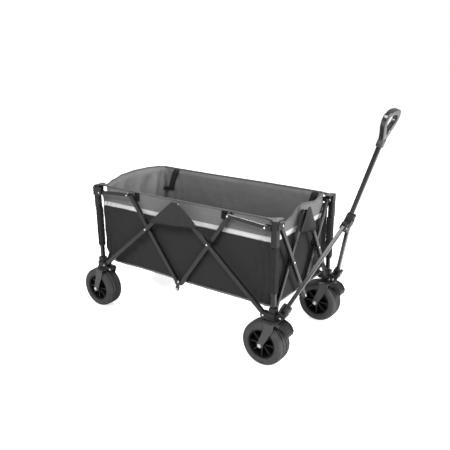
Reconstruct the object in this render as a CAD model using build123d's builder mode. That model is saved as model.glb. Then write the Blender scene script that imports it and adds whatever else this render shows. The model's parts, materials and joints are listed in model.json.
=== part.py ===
from build123d import *
import math
import os

os.makedirs("parts", exist_ok=True)

# Folding camp wagon: scissor-frame sides and ends on four corner posts, with wheels, a cloth basket
# and a pulling handle.  +X is the pulling end (front), +Z up, the near long side is -Y, and the
# origin is on the floor under the middle of the frame.  Millimetres.

ENDS = {"rear": -1, "front": 1}     # sign of x
SIDES = {"near": -1, "far": 1}      # sign of y
Y_AXIS, Z_AXIS = (0, 1, 0), (0, 0, 1)

# ---------------------------------------------------------------- frame dimensions
POST_X = 456.0          # half the spacing of the corner posts along the wagon
POST_Y = 224.0          # half the spacing of the corner posts across the wagon
LOW_Z = 205.0           # lower pivots
CAP_Z = 555.0           # end-frame pivots in the top caps
INSET = {-1: 23.0, 1: 35.0}   # long-side pivot, inboard of the rear and front post axes
END_INSET = 20.0        # end-frame pivot, inboard of the post axis
LAYER = 8.0             # tube layers lie this far outside and inside the post axis
GAP = 2 * LAYER         # room between the two plates that hold a tube
TUBE_W, TUBE_T, WALL, TUBE_FILLET = 18.0, 14.0, 1.5, 2.2
END_W = 16.0            # width of the end-frame and handle-leg tubes
LINK_W, LINK_T = 14.0, 12.0
EAR_T, LUG_T = 3.5, 2.5       # plates of the lower brackets; plates of the posts and caps
RIVET_R, HEAD_R = 3.0, 5.5
HEAD_SUNK, HEAD_PROUD = 0.3, 1.8     # a rivet head below and above the face it sits on
FIT, SLIP = 0.06, 0.05        # radial clearance of pins; clearance of sliding faces

POST, POST_LOW = 20.0, 16.0   # post width above and below the neck
POST_FOOT_Z, NECK_Z, POST_TOP_Z = 200.0, 292.0, 549.0
CAP_OUT = 13.0          # outer faces of the cap from the post axis
SKIRT_IN = POST / 2 + SLIP
WEB_Z, WEB_T = 572.5, 4.5
# corner web of the cap: outward from the post axis along the wagon, outward across it
WEB_OUTLINE = (
    (CAP_OUT, CAP_OUT), (-9.5, CAP_OUT), (-9.5, -1.5), (-40, -1.5), (-40, -5), (-4, -42),
    (CAP_OUT, -42),
)

# ---------------------------------------------------------------- running gear dimensions
WHEEL_R, AXLE_R = 90.0, 5.0
TRAIL = {-1: 14.0, 1: 31.0}        # wheel axis behind the post axis, at the rear and the front
CROWN_SHIFT = {-1: 12.0, 1: 4.0}   # fork crown ahead of the post axis, likewise
LEG_IN, LEG_T = 41.0, 3.0          # fork legs: inner face from the wheel's middle, thickness
CROWN_Z, CROWN_T = 184.0, 3.0
CROWN_TOP = CROWN_Z + CROWN_T
COLLAR_R, COLLAR_TOP = 17.0, CROWN_TOP + 3
SWIVEL_R = 6.0
LEVER_X, LEVER_Z, LEVER_PIN_R = 30.0, 180.0, 2.0   # brake pivot, X ahead of the crown's middle
LEVER_HALF_W, CHEEK_T = 24.0, 4.5

# half sections of the rim and tyre up to the wheel's middle plane: radius, place across the wheel
RIM_HALF = (
    (AXLE_R + FIT, -38), (13, -38), (15, -30), (17, -8), (50, -8), (53, -30), (55, -34), (59, -34),
)
TYRE_HALF = (
    (59, -34), (60, -36), (70, -38), (79, -37), (85, -32), (88.6, -24), (89.4, -19), (87, -18),
    (87, -15), (89.8, -14), (WHEEL_R, -4), (87, -2.5),
)
# side views of the brake lever and its cheeks: x from the lever pivot, z from the floor
LEVER_OUTLINE = (
    (-5, 184.5), (9, 184.5), (22, 179), (32, 168), (39, 154), (40, 142), (34.5, 141), (32, 152),
    (24, 164), (15, 171), (5, 175), (-5, 175.5),
)
CHEEK_OUTLINE = (
    (-3, 186), (10, 187), (26, 180), (36, 168), (42, 152), (34, 152), (22, 165), (-3, 175.5),
)

BASKET_X, BASKET_Y = 433.0, 201.0
BASKET_Z0, BASKET_Z1 = 222.0, 571.0
BASKET_CORNER_R, CLOTH = 30.0, 3.0

# ---------------------------------------------------------------- handle dimensions
PITCH_OUT, PITCH_Y, PITCH_Z = 34.0, 220.0, 206.0   # knuckle pivots; OUT is ahead of the post axis
CLEVIS = (9.1, 12.7)     # faces of each clevis plate from the knuckle's middle
V_TILT, STEM_TILT = 22.6, 18.3   # lean of the handle's V and of its tube from vertical, degrees
LEG_PIVOT_W = 34.0       # leg pivot, up the V from the knuckle pivot
HUB_W = 366.0            # hub centre up the V
HUB_PIN_Y, HUB_PIN_W = 24.0, 352.0
HUB_PLATE = (7.6, 11.5)  # hub plates, from the V's middle plane
KNUCKLE_PLATE = (7.6, 15.5)
BUTTON_UP, BUTTON_R = 18.0, 5.0   # lock button above the hub centre
STEM, STEM_LOW, STEM_TOP = 16.0, -40.0, 318.0      # handle tube: width, ends from the hub centre
GRIP_T, GRIP_OVERLAP = 19.0, 14.0
# outline of the grip and of the opening in it: across the wagon, up the handle tube
GRIP_OUTLINE = (
    (-13, 0), (-14, 20), (-26, 44), (-50, 76), (-61, 104), (-52, 126), (-24, 136), (0, 137.5),
    (24, 136), (52, 126), (61, 104), (50, 76), (26, 44), (14, 20), (13, 0),
)
GRIP_OPENING = (
    (0, 52), (12, 60), (30, 82), (41, 102), (35, 113), (18, 117), (0, 118),
    (-18, 117), (-35, 113), (-41, 102), (-30, 82), (-12, 60),
)

# ---------------------------------------------------------------- long-side scissor geometry
# ALONG is measured from the long-side pivot towards mid length, RISE from the lower pivots.
FOLD_X = 215.0           # post spacing along the wagon when folded
AXIS_RISE = 358.0        # outer tube axes at mid length
PIVOT_OFFSET = 12.5      # middle pivots from the tube axes
CROSS_ALONG = 264.0      # scissor crossing
BOTTOM_RISE = 20.0       # bottom middle pivot
JOINT_RISE = 355.0       # joint of inner tube and top link
HALF_SPAN = POST_X - (INSET[-1] + INSET[1]) / 2
TUBE_STOP = HALF_SPAN - 10.5     # tubes stop short of the middle
OUTER_SLOPE = math.atan2(AXIS_RISE, HALF_SPAN)
STOP_RISE = TUBE_STOP * math.tan(OUTER_SLOPE)
TOP_RISE = AXIS_RISE - PIVOT_OFFSET / math.cos(OUTER_SLOPE)
CROSS_RISE = CROSS_ALONG * math.tan(OUTER_SLOPE)
CROSS_TO_BOTTOM = math.hypot(HALF_SPAN - CROSS_ALONG, CROSS_RISE - BOTTOM_RISE)
OFFSET_ANGLE = math.asin(PIVOT_OFFSET / CROSS_TO_BOTTOM)
INNER_SLOPE = math.atan2(CROSS_RISE - BOTTOM_RISE, HALF_SPAN - CROSS_ALONG) + OFFSET_ANGLE
JOINT_ALONG = CROSS_ALONG - (JOINT_RISE - CROSS_RISE) / math.tan(INNER_SLOPE)


def link_pivot_rise():
    """Height on the post that is equally far from the link joint when open and when folded."""
    fold_span = (FOLD_X - INSET[-1] - INSET[1]) / 2
    fold_angle = math.acos(fold_span / math.hypot(HALF_SPAN, TOP_RISE))
    turn = fold_angle - math.atan2(TOP_RISE, HALF_SPAN)
    to_cross = math.hypot(CROSS_ALONG, CROSS_RISE)
    cross_along = to_cross * math.cos(OUTER_SLOPE + turn)
    cross_rise = to_cross * math.sin(OUTER_SLOPE + turn)
    inner_slope = math.acos((fold_span - cross_along) / CROSS_TO_BOTTOM) + OFFSET_ANGLE
    to_joint = (JOINT_RISE - CROSS_RISE) / math.sin(INNER_SLOPE)
    along = cross_along - to_joint * math.cos(inner_slope)
    rise = cross_rise + to_joint * math.sin(inner_slope)
    return (JOINT_ALONG ** 2 + JOINT_RISE ** 2 - along ** 2 - rise ** 2) / (2 * (JOINT_RISE - rise))


LINK_RISE = link_pivot_rise()


def long_point(end, side, along, rise, layer=0.0):
    """A point of a long-side scissor; layer is its offset outward from the post axis."""
    return (end * (POST_X - INSET[end] - along), side * (POST_Y + layer), LOW_Z + rise)


# ---------------------------------------------------------------- helpers; spans are (from, to)
def save(part, name):
    part.label = name
    export_step(part, f"parts/{name}.step")


def box(xs, ys, zs, mode=Mode.ADD):
    with BuildSketch(Plane.XY.offset(zs[0])) as profile:
        with Locations((sum(xs) / 2, sum(ys) / 2)):
            Rectangle(abs(xs[1] - xs[0]), abs(ys[1] - ys[0]))
    extrude(profile.sketch, amount=zs[1] - zs[0], mode=mode)


def corner_box(end, side, along, across, zs, mode=Mode.ADD):
    """A box placed from a post's axis, outward along the wagon and outward across it."""
    xs = [end * (POST_X + u) for u in along]
    ys = [side * (POST_Y + v) for v in across]
    box(xs, ys, zs, mode)


def disc(at, normal, span, radius, mode=Mode.ADD):
    direction = Vector(*normal).normalized()
    start, stop = span
    origin = Vector(*at) + direction * start
    with BuildSketch(Plane(origin=origin, z_dir=direction * (1 if stop > start else -1))) as profile:
        Circle(radius)
    extrude(profile.sketch, amount=abs(stop - start), mode=mode)


def hole(at, normal, span):
    """A running hole for a rivet."""
    disc(at, normal, span, RIVET_R + FIT, Mode.SUBTRACT)


def head(at, normal, face, radius=HEAD_R):
    """A rivet head on a face at this offset, pointing away from offset zero."""
    away = math.copysign(1, face)
    disc(at, normal, (face - HEAD_SUNK * away, face + HEAD_PROUD * away), radius)


def rivet(at, normal, span):
    """A rivet through the span, with a head outside each end."""
    disc(at, normal, (span[0] - 1.5, span[1] + 1.5), RIVET_R)
    head(at, normal, span[1])
    head(at, normal, span[0])


def layer_rivet(at, normal):
    """A rivet through both tube layers, fixed in the outer and just clear of the inner."""
    disc(at, normal, (-15, 15), RIVET_R)
    head(at, normal, 15)
    disc(at, normal, (-15.15, -17), HEAD_R)
    disc(at, normal, (-16, -14.8), RIVET_R)


def plate(start, stop, width, normal, span):
    """A flat plate with round ends centred on start and stop."""
    start, stop, direction = Vector(*start), Vector(*stop), Vector(*normal).normalized()
    origin = (start + stop) / 2 + direction * span[0]
    with BuildSketch(Plane(origin=origin, x_dir=(stop - start).normalized(), z_dir=direction)) as profile:
        SlotCenterToCenter((stop - start).length, width)
    extrude(profile.sketch, amount=span[1] - span[0])


def straddle(layer, thickness):
    """Spans of the plates on both sides of a tube layer (1 outer, -1 inner), the farther first."""
    farther = sorted((layer * GAP, layer * (GAP + thickness)))
    nearer = sorted((0, -layer * thickness))
    return farther, nearer


def bar(piece, start, stop, normal, width, thickness):
    """A hollow flat-oval tube with its side walls rounded about both end points."""
    start, stop, direction = Vector(*start), Vector(*stop), Vector(*normal).normalized()
    middle = (start + stop) / 2
    length = (stop - start).length
    plane = Plane(origin=middle, x_dir=(stop - start).normalized(), z_dir=direction)
    with BuildSketch(plane) as outline:
        SlotCenterToCenter(length, width)
    extrude(outline.sketch, amount=thickness / 2, both=True)
    rims = [
        e for e in piece.edges()
        if abs((e.center() - middle).dot(direction)) > thickness / 2 - 0.01
    ]
    fillet(rims, TUBE_FILLET)
    with BuildSketch(plane) as bore:
        Rectangle(length + 2 * width, width - 2 * WALL)
    extrude(bore.sketch, amount=thickness / 2 - WALL, both=True, mode=Mode.SUBTRACT)


def side_plane(x, y):
    """Local X runs forward and local Y up; extrusions go towards -Y."""
    return Plane(origin=(x, y, 0), x_dir=(1, 0, 0), z_dir=(0, -1, 0))


# ---------------------------------------------------------------- corner brackets, posts and caps
def lower_bracket(corner, end, side):
    front, far = end > 0, side > 0
    across, along = (0, side, 0), (end, 0, 0)
    post_x, post_y = end * POST_X, side * POST_Y
    long_pivot = long_point(end, side, 0, 0)
    end_pivot = (post_x, post_y - side * END_INSET, LOW_Z)
    ear_root = (post_x, post_y - side * 2, LOW_Z)
    base_z = COLLAR_TOP + 0.1 if front else CROWN_TOP
    outer_ear = (GAP, GAP + EAR_T)
    with BuildPart() as bracket:
        # base, body and the ears of the long side
        corner_box(end, side, (-20 if front else -62, 18), (-20, 20), (base_z, 195.5))
        corner_box(end, side, (-13, 14), (-11.5, 14), (195, 238))
        for span in straddle(1, EAR_T):
            plate((post_x, post_y, LOW_Z), long_pivot, 26, across, span)
        corner_box(end, side, (-13, 14), (13.5, outer_ear[1]), (192, 218))
        # ears of the end frame: outer tube layer on the far side, inner on the near side
        if far:
            for span in straddle(1, EAR_T):
                plate(ear_root, end_pivot, 24, along, span)
            corner_box(end, side, (13.5, outer_ear[1]), (-11.5, 9), (193, 217))
            rivet(end_pivot, along, (-EAR_T, GAP + EAR_T))
        else:
            inner_root = (post_x, post_y - side * 13, LOW_Z)
            for root, span in zip((inner_root, ear_root), straddle(-1, EAR_T)):
                plate(root, end_pivot, 24, along, span)
            corner_box(end, side, (-17, -13), (-11.5, -1), (193, 217))
            rivet(end_pivot, along, (-GAP - EAR_T, EAR_T))
        rivet(long_pivot, across, (-EAR_T, GAP + EAR_T))
        if front:
            # clevis for the handle knuckle
            pitch = (post_x + PITCH_OUT, side * PITCH_Y, PITCH_Z)
            near_face, far_face = CLEVIS
            middle = PITCH_Y - POST_Y
            web_z = (196, 212)
            inner_root_x = 19.0 if far else 3.0
            for span, root_x in (
                ((-far_face, -near_face), inner_root_x),
                ((near_face, far_face), 12.0),
            ):
                plate((post_x + root_x + 11, side * PITCH_Y, PITCH_Z), pitch, 20, across, span)
                across_span = (middle + span[0], middle + span[1])
                corner_box(end, side, (root_x - 0.5, 30), across_span, web_z)
            across_span = (middle - far_face, middle + far_face)
            corner_box(end, side, (16 if far else 13.5, 20), across_span, web_z)
            rivet(pitch, across, (-far_face, far_face))
            # bore for the fork's swivel pin
            disc((post_x, post_y, 0), Z_AXIS, (189, 199.5), SWIVEL_R + FIT, Mode.SUBTRACT)
        else:
            # outer skirt with a second rivet head
            corner_box(end, side, (-68, -12), outer_ear, (CROWN_TOP, 203))
            head((post_x + 60, post_y, 194), across, outer_ear[1])
        # socket for the post
        socket = (-POST_LOW / 2, POST_LOW / 2)
        corner_box(end, side, socket, socket, (POST_FOOT_Z, 240), Mode.SUBTRACT)
    save(bracket.part, f"lower_bracket_{corner}")


def corner_post(corner, end, side):
    across = (0, side, 0)
    at = (end * POST_X, side * POST_Y)
    inset = INSET[end]
    lug = long_point(end, side, 0, LINK_RISE)
    z = lug[2]
    with BuildPart() as post:
        with BuildSketch(Plane.XY.offset(POST_FOOT_Z)):
            with Locations(at):
                RectangleRounded(POST_LOW, POST_LOW, 2.5)
        extrude(amount=NECK_Z - POST_FOOT_Z)
        with BuildSketch(Plane.XY.offset(NECK_Z)):
            with Locations(at):
                RectangleRounded(POST, POST, 3)
        extrude(amount=POST_TOP_Z - NECK_Z)
        with BuildSketch(Plane.XY.offset(POST_FOOT_Z)):
            with Locations(at):
                RectangleRounded(POST_LOW - 2 * WALL, POST_LOW - 2 * WALL, 1.5)
        extrude(amount=POST_TOP_Z - POST_FOOT_Z, mode=Mode.SUBTRACT)
        # lug that carries the top link of the long side
        for span in straddle(1, LUG_T):
            disc(lug, across, span, 10)
        for span in straddle(1, LUG_T):
            corner_box(end, side, (-inset, -12), span, (z - 10, z + 9))
        corner_box(end, side, (-13, -10.2), (-LUG_T, GAP + LUG_T), (z - 10, z + 9))
        corner_box(end, side, (-10.5, -9), (-LUG_T, 8), (z - 9, POST_TOP_Z))
        if end < 0:
            corner_box(end, side, (-35, 13), (GAP, GAP + LUG_T), (533, 571))
        rivet(lug, across, (-LUG_T, GAP + LUG_T))
    save(post.part, f"post_{corner}")


def top_cap(corner, end, side):
    along = (end, 0, 0)
    post_x, post_y = end * POST_X, side * POST_Y
    pivot = (post_x, post_y - side * END_INSET, CAP_Z)
    ear_root = (post_x, post_y - side * 2, CAP_Z)
    with BuildPart() as cap:
        # angle skirt on the outside of the post
        corner_box(end, side, (SKIRT_IN, CAP_OUT), (-9, CAP_OUT), (476, 560))
        corner_box(end, side, (-9, CAP_OUT), (SKIRT_IN, CAP_OUT), (476, 560))
        # head
        corner_box(end, side, (-9.5, CAP_OUT), (-11.5, CAP_OUT), (551, 577))
        corner_box(end, side, (-14, -8.9), (-4, 20), (530, 557.5), Mode.SUBTRACT)
        # corner web over the cloth
        with BuildSketch(Plane.XY.offset(WEB_Z)):
            with BuildLine():
                web = [(end * (POST_X + u), side * (POST_Y + v)) for u, v in WEB_OUTLINE]
                Polyline(*web, close=True)
            make_face()
        extrude(amount=WEB_T)
        # ears: inner tube layer on the far side, outer on the near side
        if side > 0:
            inner_root = (post_x, post_y - side * 15, CAP_Z)
            for root, span in zip((inner_root, ear_root), straddle(-1, LUG_T)):
                plate(root, pivot, 23, along, span)
            corner_box(end, side, (-GAP - LUG_T, -9.5), (-11.5, -3.6), (551, 566))
        else:
            for span in straddle(1, LUG_T):
                plate(ear_root, pivot, 23, along, span)
            corner_box(end, side, (12.5, GAP + LUG_T), (-11.5, 8), (544, 566))
        head(pivot, along, -side * (GAP + LUG_T))
        head(pivot, along, side * LUG_T)
        # room for the top of the post
        corner_box(end, side, (-10.3, 10.04), (-10.3, 10.04), (540, 549.2), Mode.SUBTRACT)
    save(cap.part, f"top_cap_{corner}")


# ---------------------------------------------------------------- long-side scissors
TONGUE_W, SPOT_R = 16.6, 6.5     # plates on the tube ends and the spots that join them


def outer_long_tube(side_name, side, end):
    across = (0, side, 0)
    start = long_point(end, side, 0, 0, LAYER)
    stop = long_point(end, side, TUBE_STOP, STOP_RISE, LAYER)
    root = long_point(end, side, TUBE_STOP, STOP_RISE)
    top = long_point(end, side, HALF_SPAN, TOP_RISE)
    with BuildPart() as tube:
        bar(tube, start, stop, across, TUBE_W, TUBE_T)
        hole(long_point(end, side, 0, 0), across, (-1, 16))
        if end < 0:
            plate(root, top, TONGUE_W, across, (15.15, 17.5))
            disc(root, across, (13.6, 15.4), SPOT_R)
            rivet(top, across, (-1.5, 17.5))
        else:
            plate(root, top, TONGUE_W, across, (-1.2, 0.85))
            disc(root, across, (0.6, 2.4), SPOT_R)
            hole(top, across, (-2, 3))
            head(root, across, 15, radius=4.4)
        layer_rivet(long_point(end, side, CROSS_ALONG, CROSS_RISE), across)
    save(tube.part, f"{side_name}_long_tube_{1 if end < 0 else 4}")


def inner_long_tube(side_name, side, end):
    across = (0, side, 0)
    stop_rise = CROSS_RISE - (TUBE_STOP - CROSS_ALONG) * math.tan(INNER_SLOPE)
    start = long_point(end, side, JOINT_ALONG, JOINT_RISE, -LAYER)
    stop = long_point(end, side, TUBE_STOP, stop_rise, -LAYER)
    root = long_point(end, side, TUBE_STOP, stop_rise)
    bottom = long_point(end, side, HALF_SPAN, BOTTOM_RISE)
    joint = long_point(end, side, JOINT_ALONG, JOINT_RISE)
    with BuildPart() as tube:
        bar(tube, start, stop, across, TUBE_W, TUBE_T)
        if end < 0:
            plate(root, bottom, TONGUE_W, across, (-0.85, 1.5))
            disc(root, across, (-2.4, -0.6), SPOT_R)
            head(bottom, across, 1.5)
            head(root, across, 1.5)
            # hub plate hanging below the bottom pivot
            drop = long_point(end, side, HALF_SPAN - 7, -13)
            plate(drop, bottom, 18, across, (-0.85, 1.5))
            head(drop, across, 1.5)
        else:
            plate(root, bottom, TONGUE_W, across, (-17.5, -15.15))
            disc(root, across, (-15.4, -13.6), SPOT_R)
            head(bottom, across, -17.5)
        hole(long_point(end, side, CROSS_ALONG, CROSS_RISE), across, (-18, 2))
        disc(joint, across, (-15, -1.2), RIVET_R)
        head(joint, across, -15)
    save(tube.part, f"{side_name}_long_tube_{2 if end < 0 else 3}")


def top_link(side_name, side, end_name, end):
    across = (0, side, 0)
    start = long_point(end, side, 0, LINK_RISE, LAYER)
    stop = long_point(end, side, JOINT_ALONG, JOINT_RISE, LAYER)
    joint = long_point(end, side, JOINT_ALONG, JOINT_RISE)
    with BuildPart() as link:
        bar(link, start, stop, across, LINK_W, LINK_T)
        hole(long_point(end, side, 0, LINK_RISE), across, (0, 16))
        disc(joint, across, (2.2, 14), RIVET_R)
        head(joint, across, 14)
    save(link.part, f"top_link_{side_name}_{end_name}")


# ---------------------------------------------------------------- end-frame scissors
# number: side, layer offset, height at the post, height at mid width
END_TUBES = {
    1: (-1, -LAYER, LOW_Z, CAP_Z),
    2: (-1, LAYER, CAP_Z, LOW_Z),
    3: (1, -LAYER, CAP_Z, LOW_Z),
    4: (1, LAYER, LOW_Z, CAP_Z),
}


def end_tube(end_name, end, number):
    side, layer, post_z, middle_z = END_TUBES[number]
    along = (end, 0, 0)
    x, layer_x = end * POST_X, end * (POST_X + layer)
    y = side * (POST_Y - END_INSET)
    crossing = (x, y / 2, (LOW_Z + CAP_Z) / 2)
    middle = (x, 0, middle_z)
    through = (-20, 20)
    with BuildPart() as tube:
        bar(tube, (layer_x, y, post_z), (layer_x, 0, middle_z), along, END_W, TUBE_T)
        if number in (1, 4):
            hole((x, y, post_z), along, through)
        if layer < 0:
            hole(crossing, along, through)
        else:
            layer_rivet(crossing, along)
        if number == 1:
            hole(middle, along, through)
        elif number == 2:
            disc(middle, along, (1.2, 15), RIVET_R)
            head(middle, along, 15)
        elif number == 3:
            disc(middle, along, (-15, -1.2), RIVET_R)
            head(middle, along, -15)
        else:
            layer_rivet(middle, along)
    save(tube.part, f"{end_name}_end_tube_{number}")


# ---------------------------------------------------------------- forks, axles, wheels, brakes
def fork(corner, end, side):
    front = end > 0
    post_x, y = end * POST_X, side * POST_Y
    wheel_x, crown_x = post_x - TRAIL[end], post_x + CROWN_SHIFT[end]
    with BuildPart() as piece:
        with BuildSketch(Plane.XY.offset(CROWN_Z)):
            with Locations((crown_x, y)):
                RectangleRounded(46, 2 * (LEG_IN + LEG_T), 10)
            if front:
                with Locations((post_x, y)):
                    Circle(24)
        extrude(amount=CROWN_T)
        for leg_y in (y - LEG_IN, y + LEG_IN + LEG_T):
            with BuildSketch(side_plane(0, leg_y)):
                with BuildLine():
                    Polyline(
                        (crown_x - 20, CROWN_Z + 1), (crown_x + 20, CROWN_Z + 1),
                        (crown_x + 19, 165), (wheel_x + 13, WHEEL_R + 2),
                        (wheel_x - 13, WHEEL_R + 2), (crown_x - 19, 165), close=True,
                    )
                make_face()
                with Locations((wheel_x, WHEEL_R)):
                    Circle(13.5)
                with Locations((wheel_x, WHEEL_R)):
                    Circle(AXLE_R + SLIP, mode=Mode.SUBTRACT)
            extrude(amount=LEG_T)
        if front:
            # swivel collar and pin
            disc((post_x, y, 0), Z_AXIS, (CROWN_TOP, COLLAR_TOP), COLLAR_R)
            disc((post_x, y, 0), Z_AXIS, (189, 199), SWIVEL_R)
            # ears and pin for the brake lever
            for ear_y in (y - 26, y + 26):
                box((crown_x + 18, crown_x + 36), (ear_y - 1.5, ear_y + 1.5), (175, CROWN_TOP))
            box((crown_x + 18, crown_x + 23), (y - 27.5, y + 27.5), (CROWN_Z, CROWN_TOP))
            disc((crown_x + LEVER_X, y, LEVER_Z), Y_AXIS, (-29, 29), LEVER_PIN_R)
    save(piece.part, f"{'swivel' if front else 'fixed'}_fork_{corner}")


def axle_bolt(corner, end, side):
    x, y = end * POST_X - TRAIL[end], side * POST_Y
    with BuildPart() as axle:
        disc((x, y, WHEEL_R), Y_AXIS, (-50, 50), AXLE_R)
        for s in (-1, 1):
            face = (x, y + s * (LEG_IN + LEG_T), WHEEL_R)
            with BuildSketch(Plane(origin=face, z_dir=(0, s, 0))):
                RegularPolygon(8.5, 6)
            extrude(amount=5.5)
    save(axle.part, f"axle_bolt_{corner}")


def wheel_piece(kind, half_outline, corner, end, side, spokes=0):
    """A ring turned from a half outline and its mirror image, with a row of spokes each side."""
    centre = Vector(end * POST_X - TRAIL[end], side * POST_Y, WHEEL_R)
    outline = [*half_outline, *((r, -across) for r, across in reversed(half_outline))]
    with BuildPart() as piece:
        with BuildSketch(Plane(origin=centre, x_dir=(1, 0, 0), z_dir=Z_AXIS)):
            with BuildLine():
                Polyline(*outline, close=True)
            make_face()
        revolve(axis=Axis(centre, Y_AXIS))
        for s in (-1, 1):
            for i in range(spokes):
                # the far row stands half a pitch round from the near row
                angle = 2 * math.pi * i / spokes + (math.pi / spokes if s > 0 else 0)
                outward = Vector(math.cos(angle), 0, math.sin(angle))
                with BuildSketch(Plane(origin=centre + outward * 14, x_dir=Y_AXIS, z_dir=outward)):
                    with Locations((s * 17, 0)):
                        Rectangle(22, 5)
                extrude(amount=40)
    save(piece.part, f"{kind}_{corner}")


def brake_lever(corner, end, side):
    x, y = end * POST_X + CROWN_SHIFT[end] + LEVER_X, side * POST_Y
    with BuildPart() as lever:
        with BuildSketch(side_plane(x, y + LEVER_HALF_W)):
            with BuildLine():
                Polyline(*LEVER_OUTLINE, close=True)
            make_face()
        extrude(amount=2 * LEVER_HALF_W)
        for cheek_y in (y - LEVER_HALF_W + CHEEK_T, y + LEVER_HALF_W):
            with BuildSketch(side_plane(x, cheek_y)):
                with BuildLine():
                    Polyline(*CHEEK_OUTLINE, close=True)
                make_face()
            extrude(amount=CHEEK_T)
        disc((x, y, LEVER_Z), Y_AXIS, (-30, 30), LEVER_PIN_R + FIT, Mode.SUBTRACT)
    save(lever.part, f"brake_lever_{corner}")


# ---------------------------------------------------------------- pulling handle
def leaning(degrees):
    """Unit vectors up a plane that leans forward, and square to it on its front."""
    c, s = math.cos(math.radians(degrees)), math.sin(math.radians(degrees))
    return Vector(s, 0, c), Vector(c, 0, -s)


V_UP, V_NORMAL = leaning(V_TILT)
STEM_UP, STEM_NORMAL = leaning(STEM_TILT)


def v_point(y, w, n=0.0):
    """A point of the handle's V: w up it from the knuckle pivots, n in front of its middle plane."""
    return Vector(POST_X + PITCH_OUT, y, PITCH_Z) + V_UP * w + V_NORMAL * n


def v_box(ys, ws, ns):
    origin = v_point(sum(ys) / 2, sum(ws) / 2, ns[0])
    with BuildSketch(Plane(origin=origin, x_dir=Y_AXIS, z_dir=V_NORMAL)) as profile:
        Rectangle(ys[1] - ys[0], ws[1] - ws[0])
    extrude(profile.sketch, amount=ns[1] - ns[0])


def both_faces(span):
    """A span in front of the V's middle plane, and its mirror image behind."""
    return span, (-span[1], -span[0])


HUB_CENTRE = v_point(0, HUB_W)


def stem_plane(up):
    """A plane across the handle tube, this far up it from the hub centre."""
    return Plane(origin=HUB_CENTRE + STEM_UP * up, x_dir=Y_AXIS, z_dir=STEM_UP)


def handle_knuckle(side_name, side):
    y = side * PITCH_Y
    pivot = v_point(y, LEG_PIVOT_W)
    with BuildPart() as knuckle:
        plate(v_point(y, 0), v_point(y, 12), 24, Y_AXIS, (-9, 9))
        v_box((y - 9, y + 9), (8, 17), (-12, 12))
        v_box((y - 18, y + 18), (16, 24), (-KNUCKLE_PLATE[1], KNUCKLE_PLATE[1]))
        for span in both_faces(KNUCKLE_PLATE):
            ends = v_point(y, LEG_PIVOT_W - 3), v_point(y, LEG_PIVOT_W + 6)
            plate(*ends, 36, V_NORMAL, span)
        hole(v_point(y, 0), Y_AXIS, (-12, 12))
        disc(pivot, V_NORMAL, (-13, 13), RIVET_R)
        head(pivot, V_NORMAL, KNUCKLE_PLATE[1])
        head(pivot, V_NORMAL, -KNUCKLE_PLATE[1])
    save(knuckle.part, f"handle_knuckle_{side_name}")


def handle_leg(side_name, side):
    low = v_point(side * PITCH_Y, LEG_PIVOT_W)
    top = v_point(side * HUB_PIN_Y, HUB_PIN_W)
    top_play = FIT if side < 0 else 1.5
    with BuildPart() as leg:
        bar(leg, low, top, V_NORMAL, END_W, TUBE_T)
        hole(low, V_NORMAL, (-9, 9))
        disc(top, V_NORMAL, (-9, 9), RIVET_R + top_play, Mode.SUBTRACT)
    save(leg.part, f"handle_leg_{side_name}")


def handle_hub():
    plate_out = HUB_PLATE[1]
    with BuildPart() as hub:
        v_box((-13, 13), (329, 403), (-14, 14))
        for span in both_faces(HUB_PLATE):
            ends = v_point(-HUB_PIN_Y, HUB_PIN_W), v_point(HUB_PIN_Y, HUB_PIN_W)
            plate(*ends, 25, V_NORMAL, span)
            v_box((-30, 30), (HUB_PIN_W, HUB_PIN_W + 14), span)
        v_box((-34, 34), (HUB_PIN_W + 12, HUB_PIN_W + 19), (-plate_out, plate_out))
        for s in (-1, 1):
            pin = v_point(s * HUB_PIN_Y, HUB_PIN_W)
            disc(pin, V_NORMAL, (-plate_out, plate_out), RIVET_R)
            head(pin, V_NORMAL, plate_out)
            head(pin, V_NORMAL, -plate_out)
        # passage for the handle tube
        with BuildSketch(stem_plane(-60)):
            Rectangle(STEM + 2 * SLIP, STEM + 2 * SLIP)
        extrude(amount=120, mode=Mode.SUBTRACT)
        # bore for the lock button
        button_at = HUB_CENTRE + V_UP * BUTTON_UP
        disc(button_at, V_NORMAL, (6, 20), BUTTON_R + FIT, Mode.SUBTRACT)
    save(hub.part, "handle_hub")


def handle_lock_button():
    with BuildPart() as button:
        disc(HUB_CENTRE + V_UP * BUTTON_UP, V_NORMAL, (12.2, 17.5), BUTTON_R)
    save(button.part, "handle_lock_button")


def handle_tube():
    with BuildPart() as stem:
        with BuildSketch(stem_plane(STEM_LOW)):
            RectangleRounded(STEM, STEM, 3)
            RectangleRounded(STEM - 2 * WALL, STEM - 2 * WALL, 1.5, mode=Mode.SUBTRACT)
        extrude(amount=STEM_TOP - STEM_LOW)
    save(stem.part, "handle_tube")


def handle_grip():
    foot = STEM_TOP - GRIP_OVERLAP
    back = HUB_CENTRE + STEM_UP * foot - STEM_NORMAL * (GRIP_T / 2)
    with BuildPart() as grip:
        with BuildSketch(Plane(origin=back, x_dir=Y_AXIS, z_dir=STEM_NORMAL)):
            with BuildLine():
                Spline(*GRIP_OUTLINE)
                Line(GRIP_OUTLINE[-1], GRIP_OUTLINE[0])
            make_face()
            with BuildLine():
                Spline(*GRIP_OPENING, periodic=True)
            make_face(mode=Mode.SUBTRACT)
        extrude(amount=GRIP_T)
        # socket over the top of the handle tube
        with BuildSketch(stem_plane(foot)):
            RectangleRounded(STEM + 9, STEM + 9, 5)
        extrude(amount=28)
        with BuildSketch(stem_plane(foot - 1)):
            RectangleRounded(STEM, STEM, 3)
        extrude(amount=GRIP_OVERLAP + 1, mode=Mode.SUBTRACT)
    save(grip.part, "handle_grip")


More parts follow.
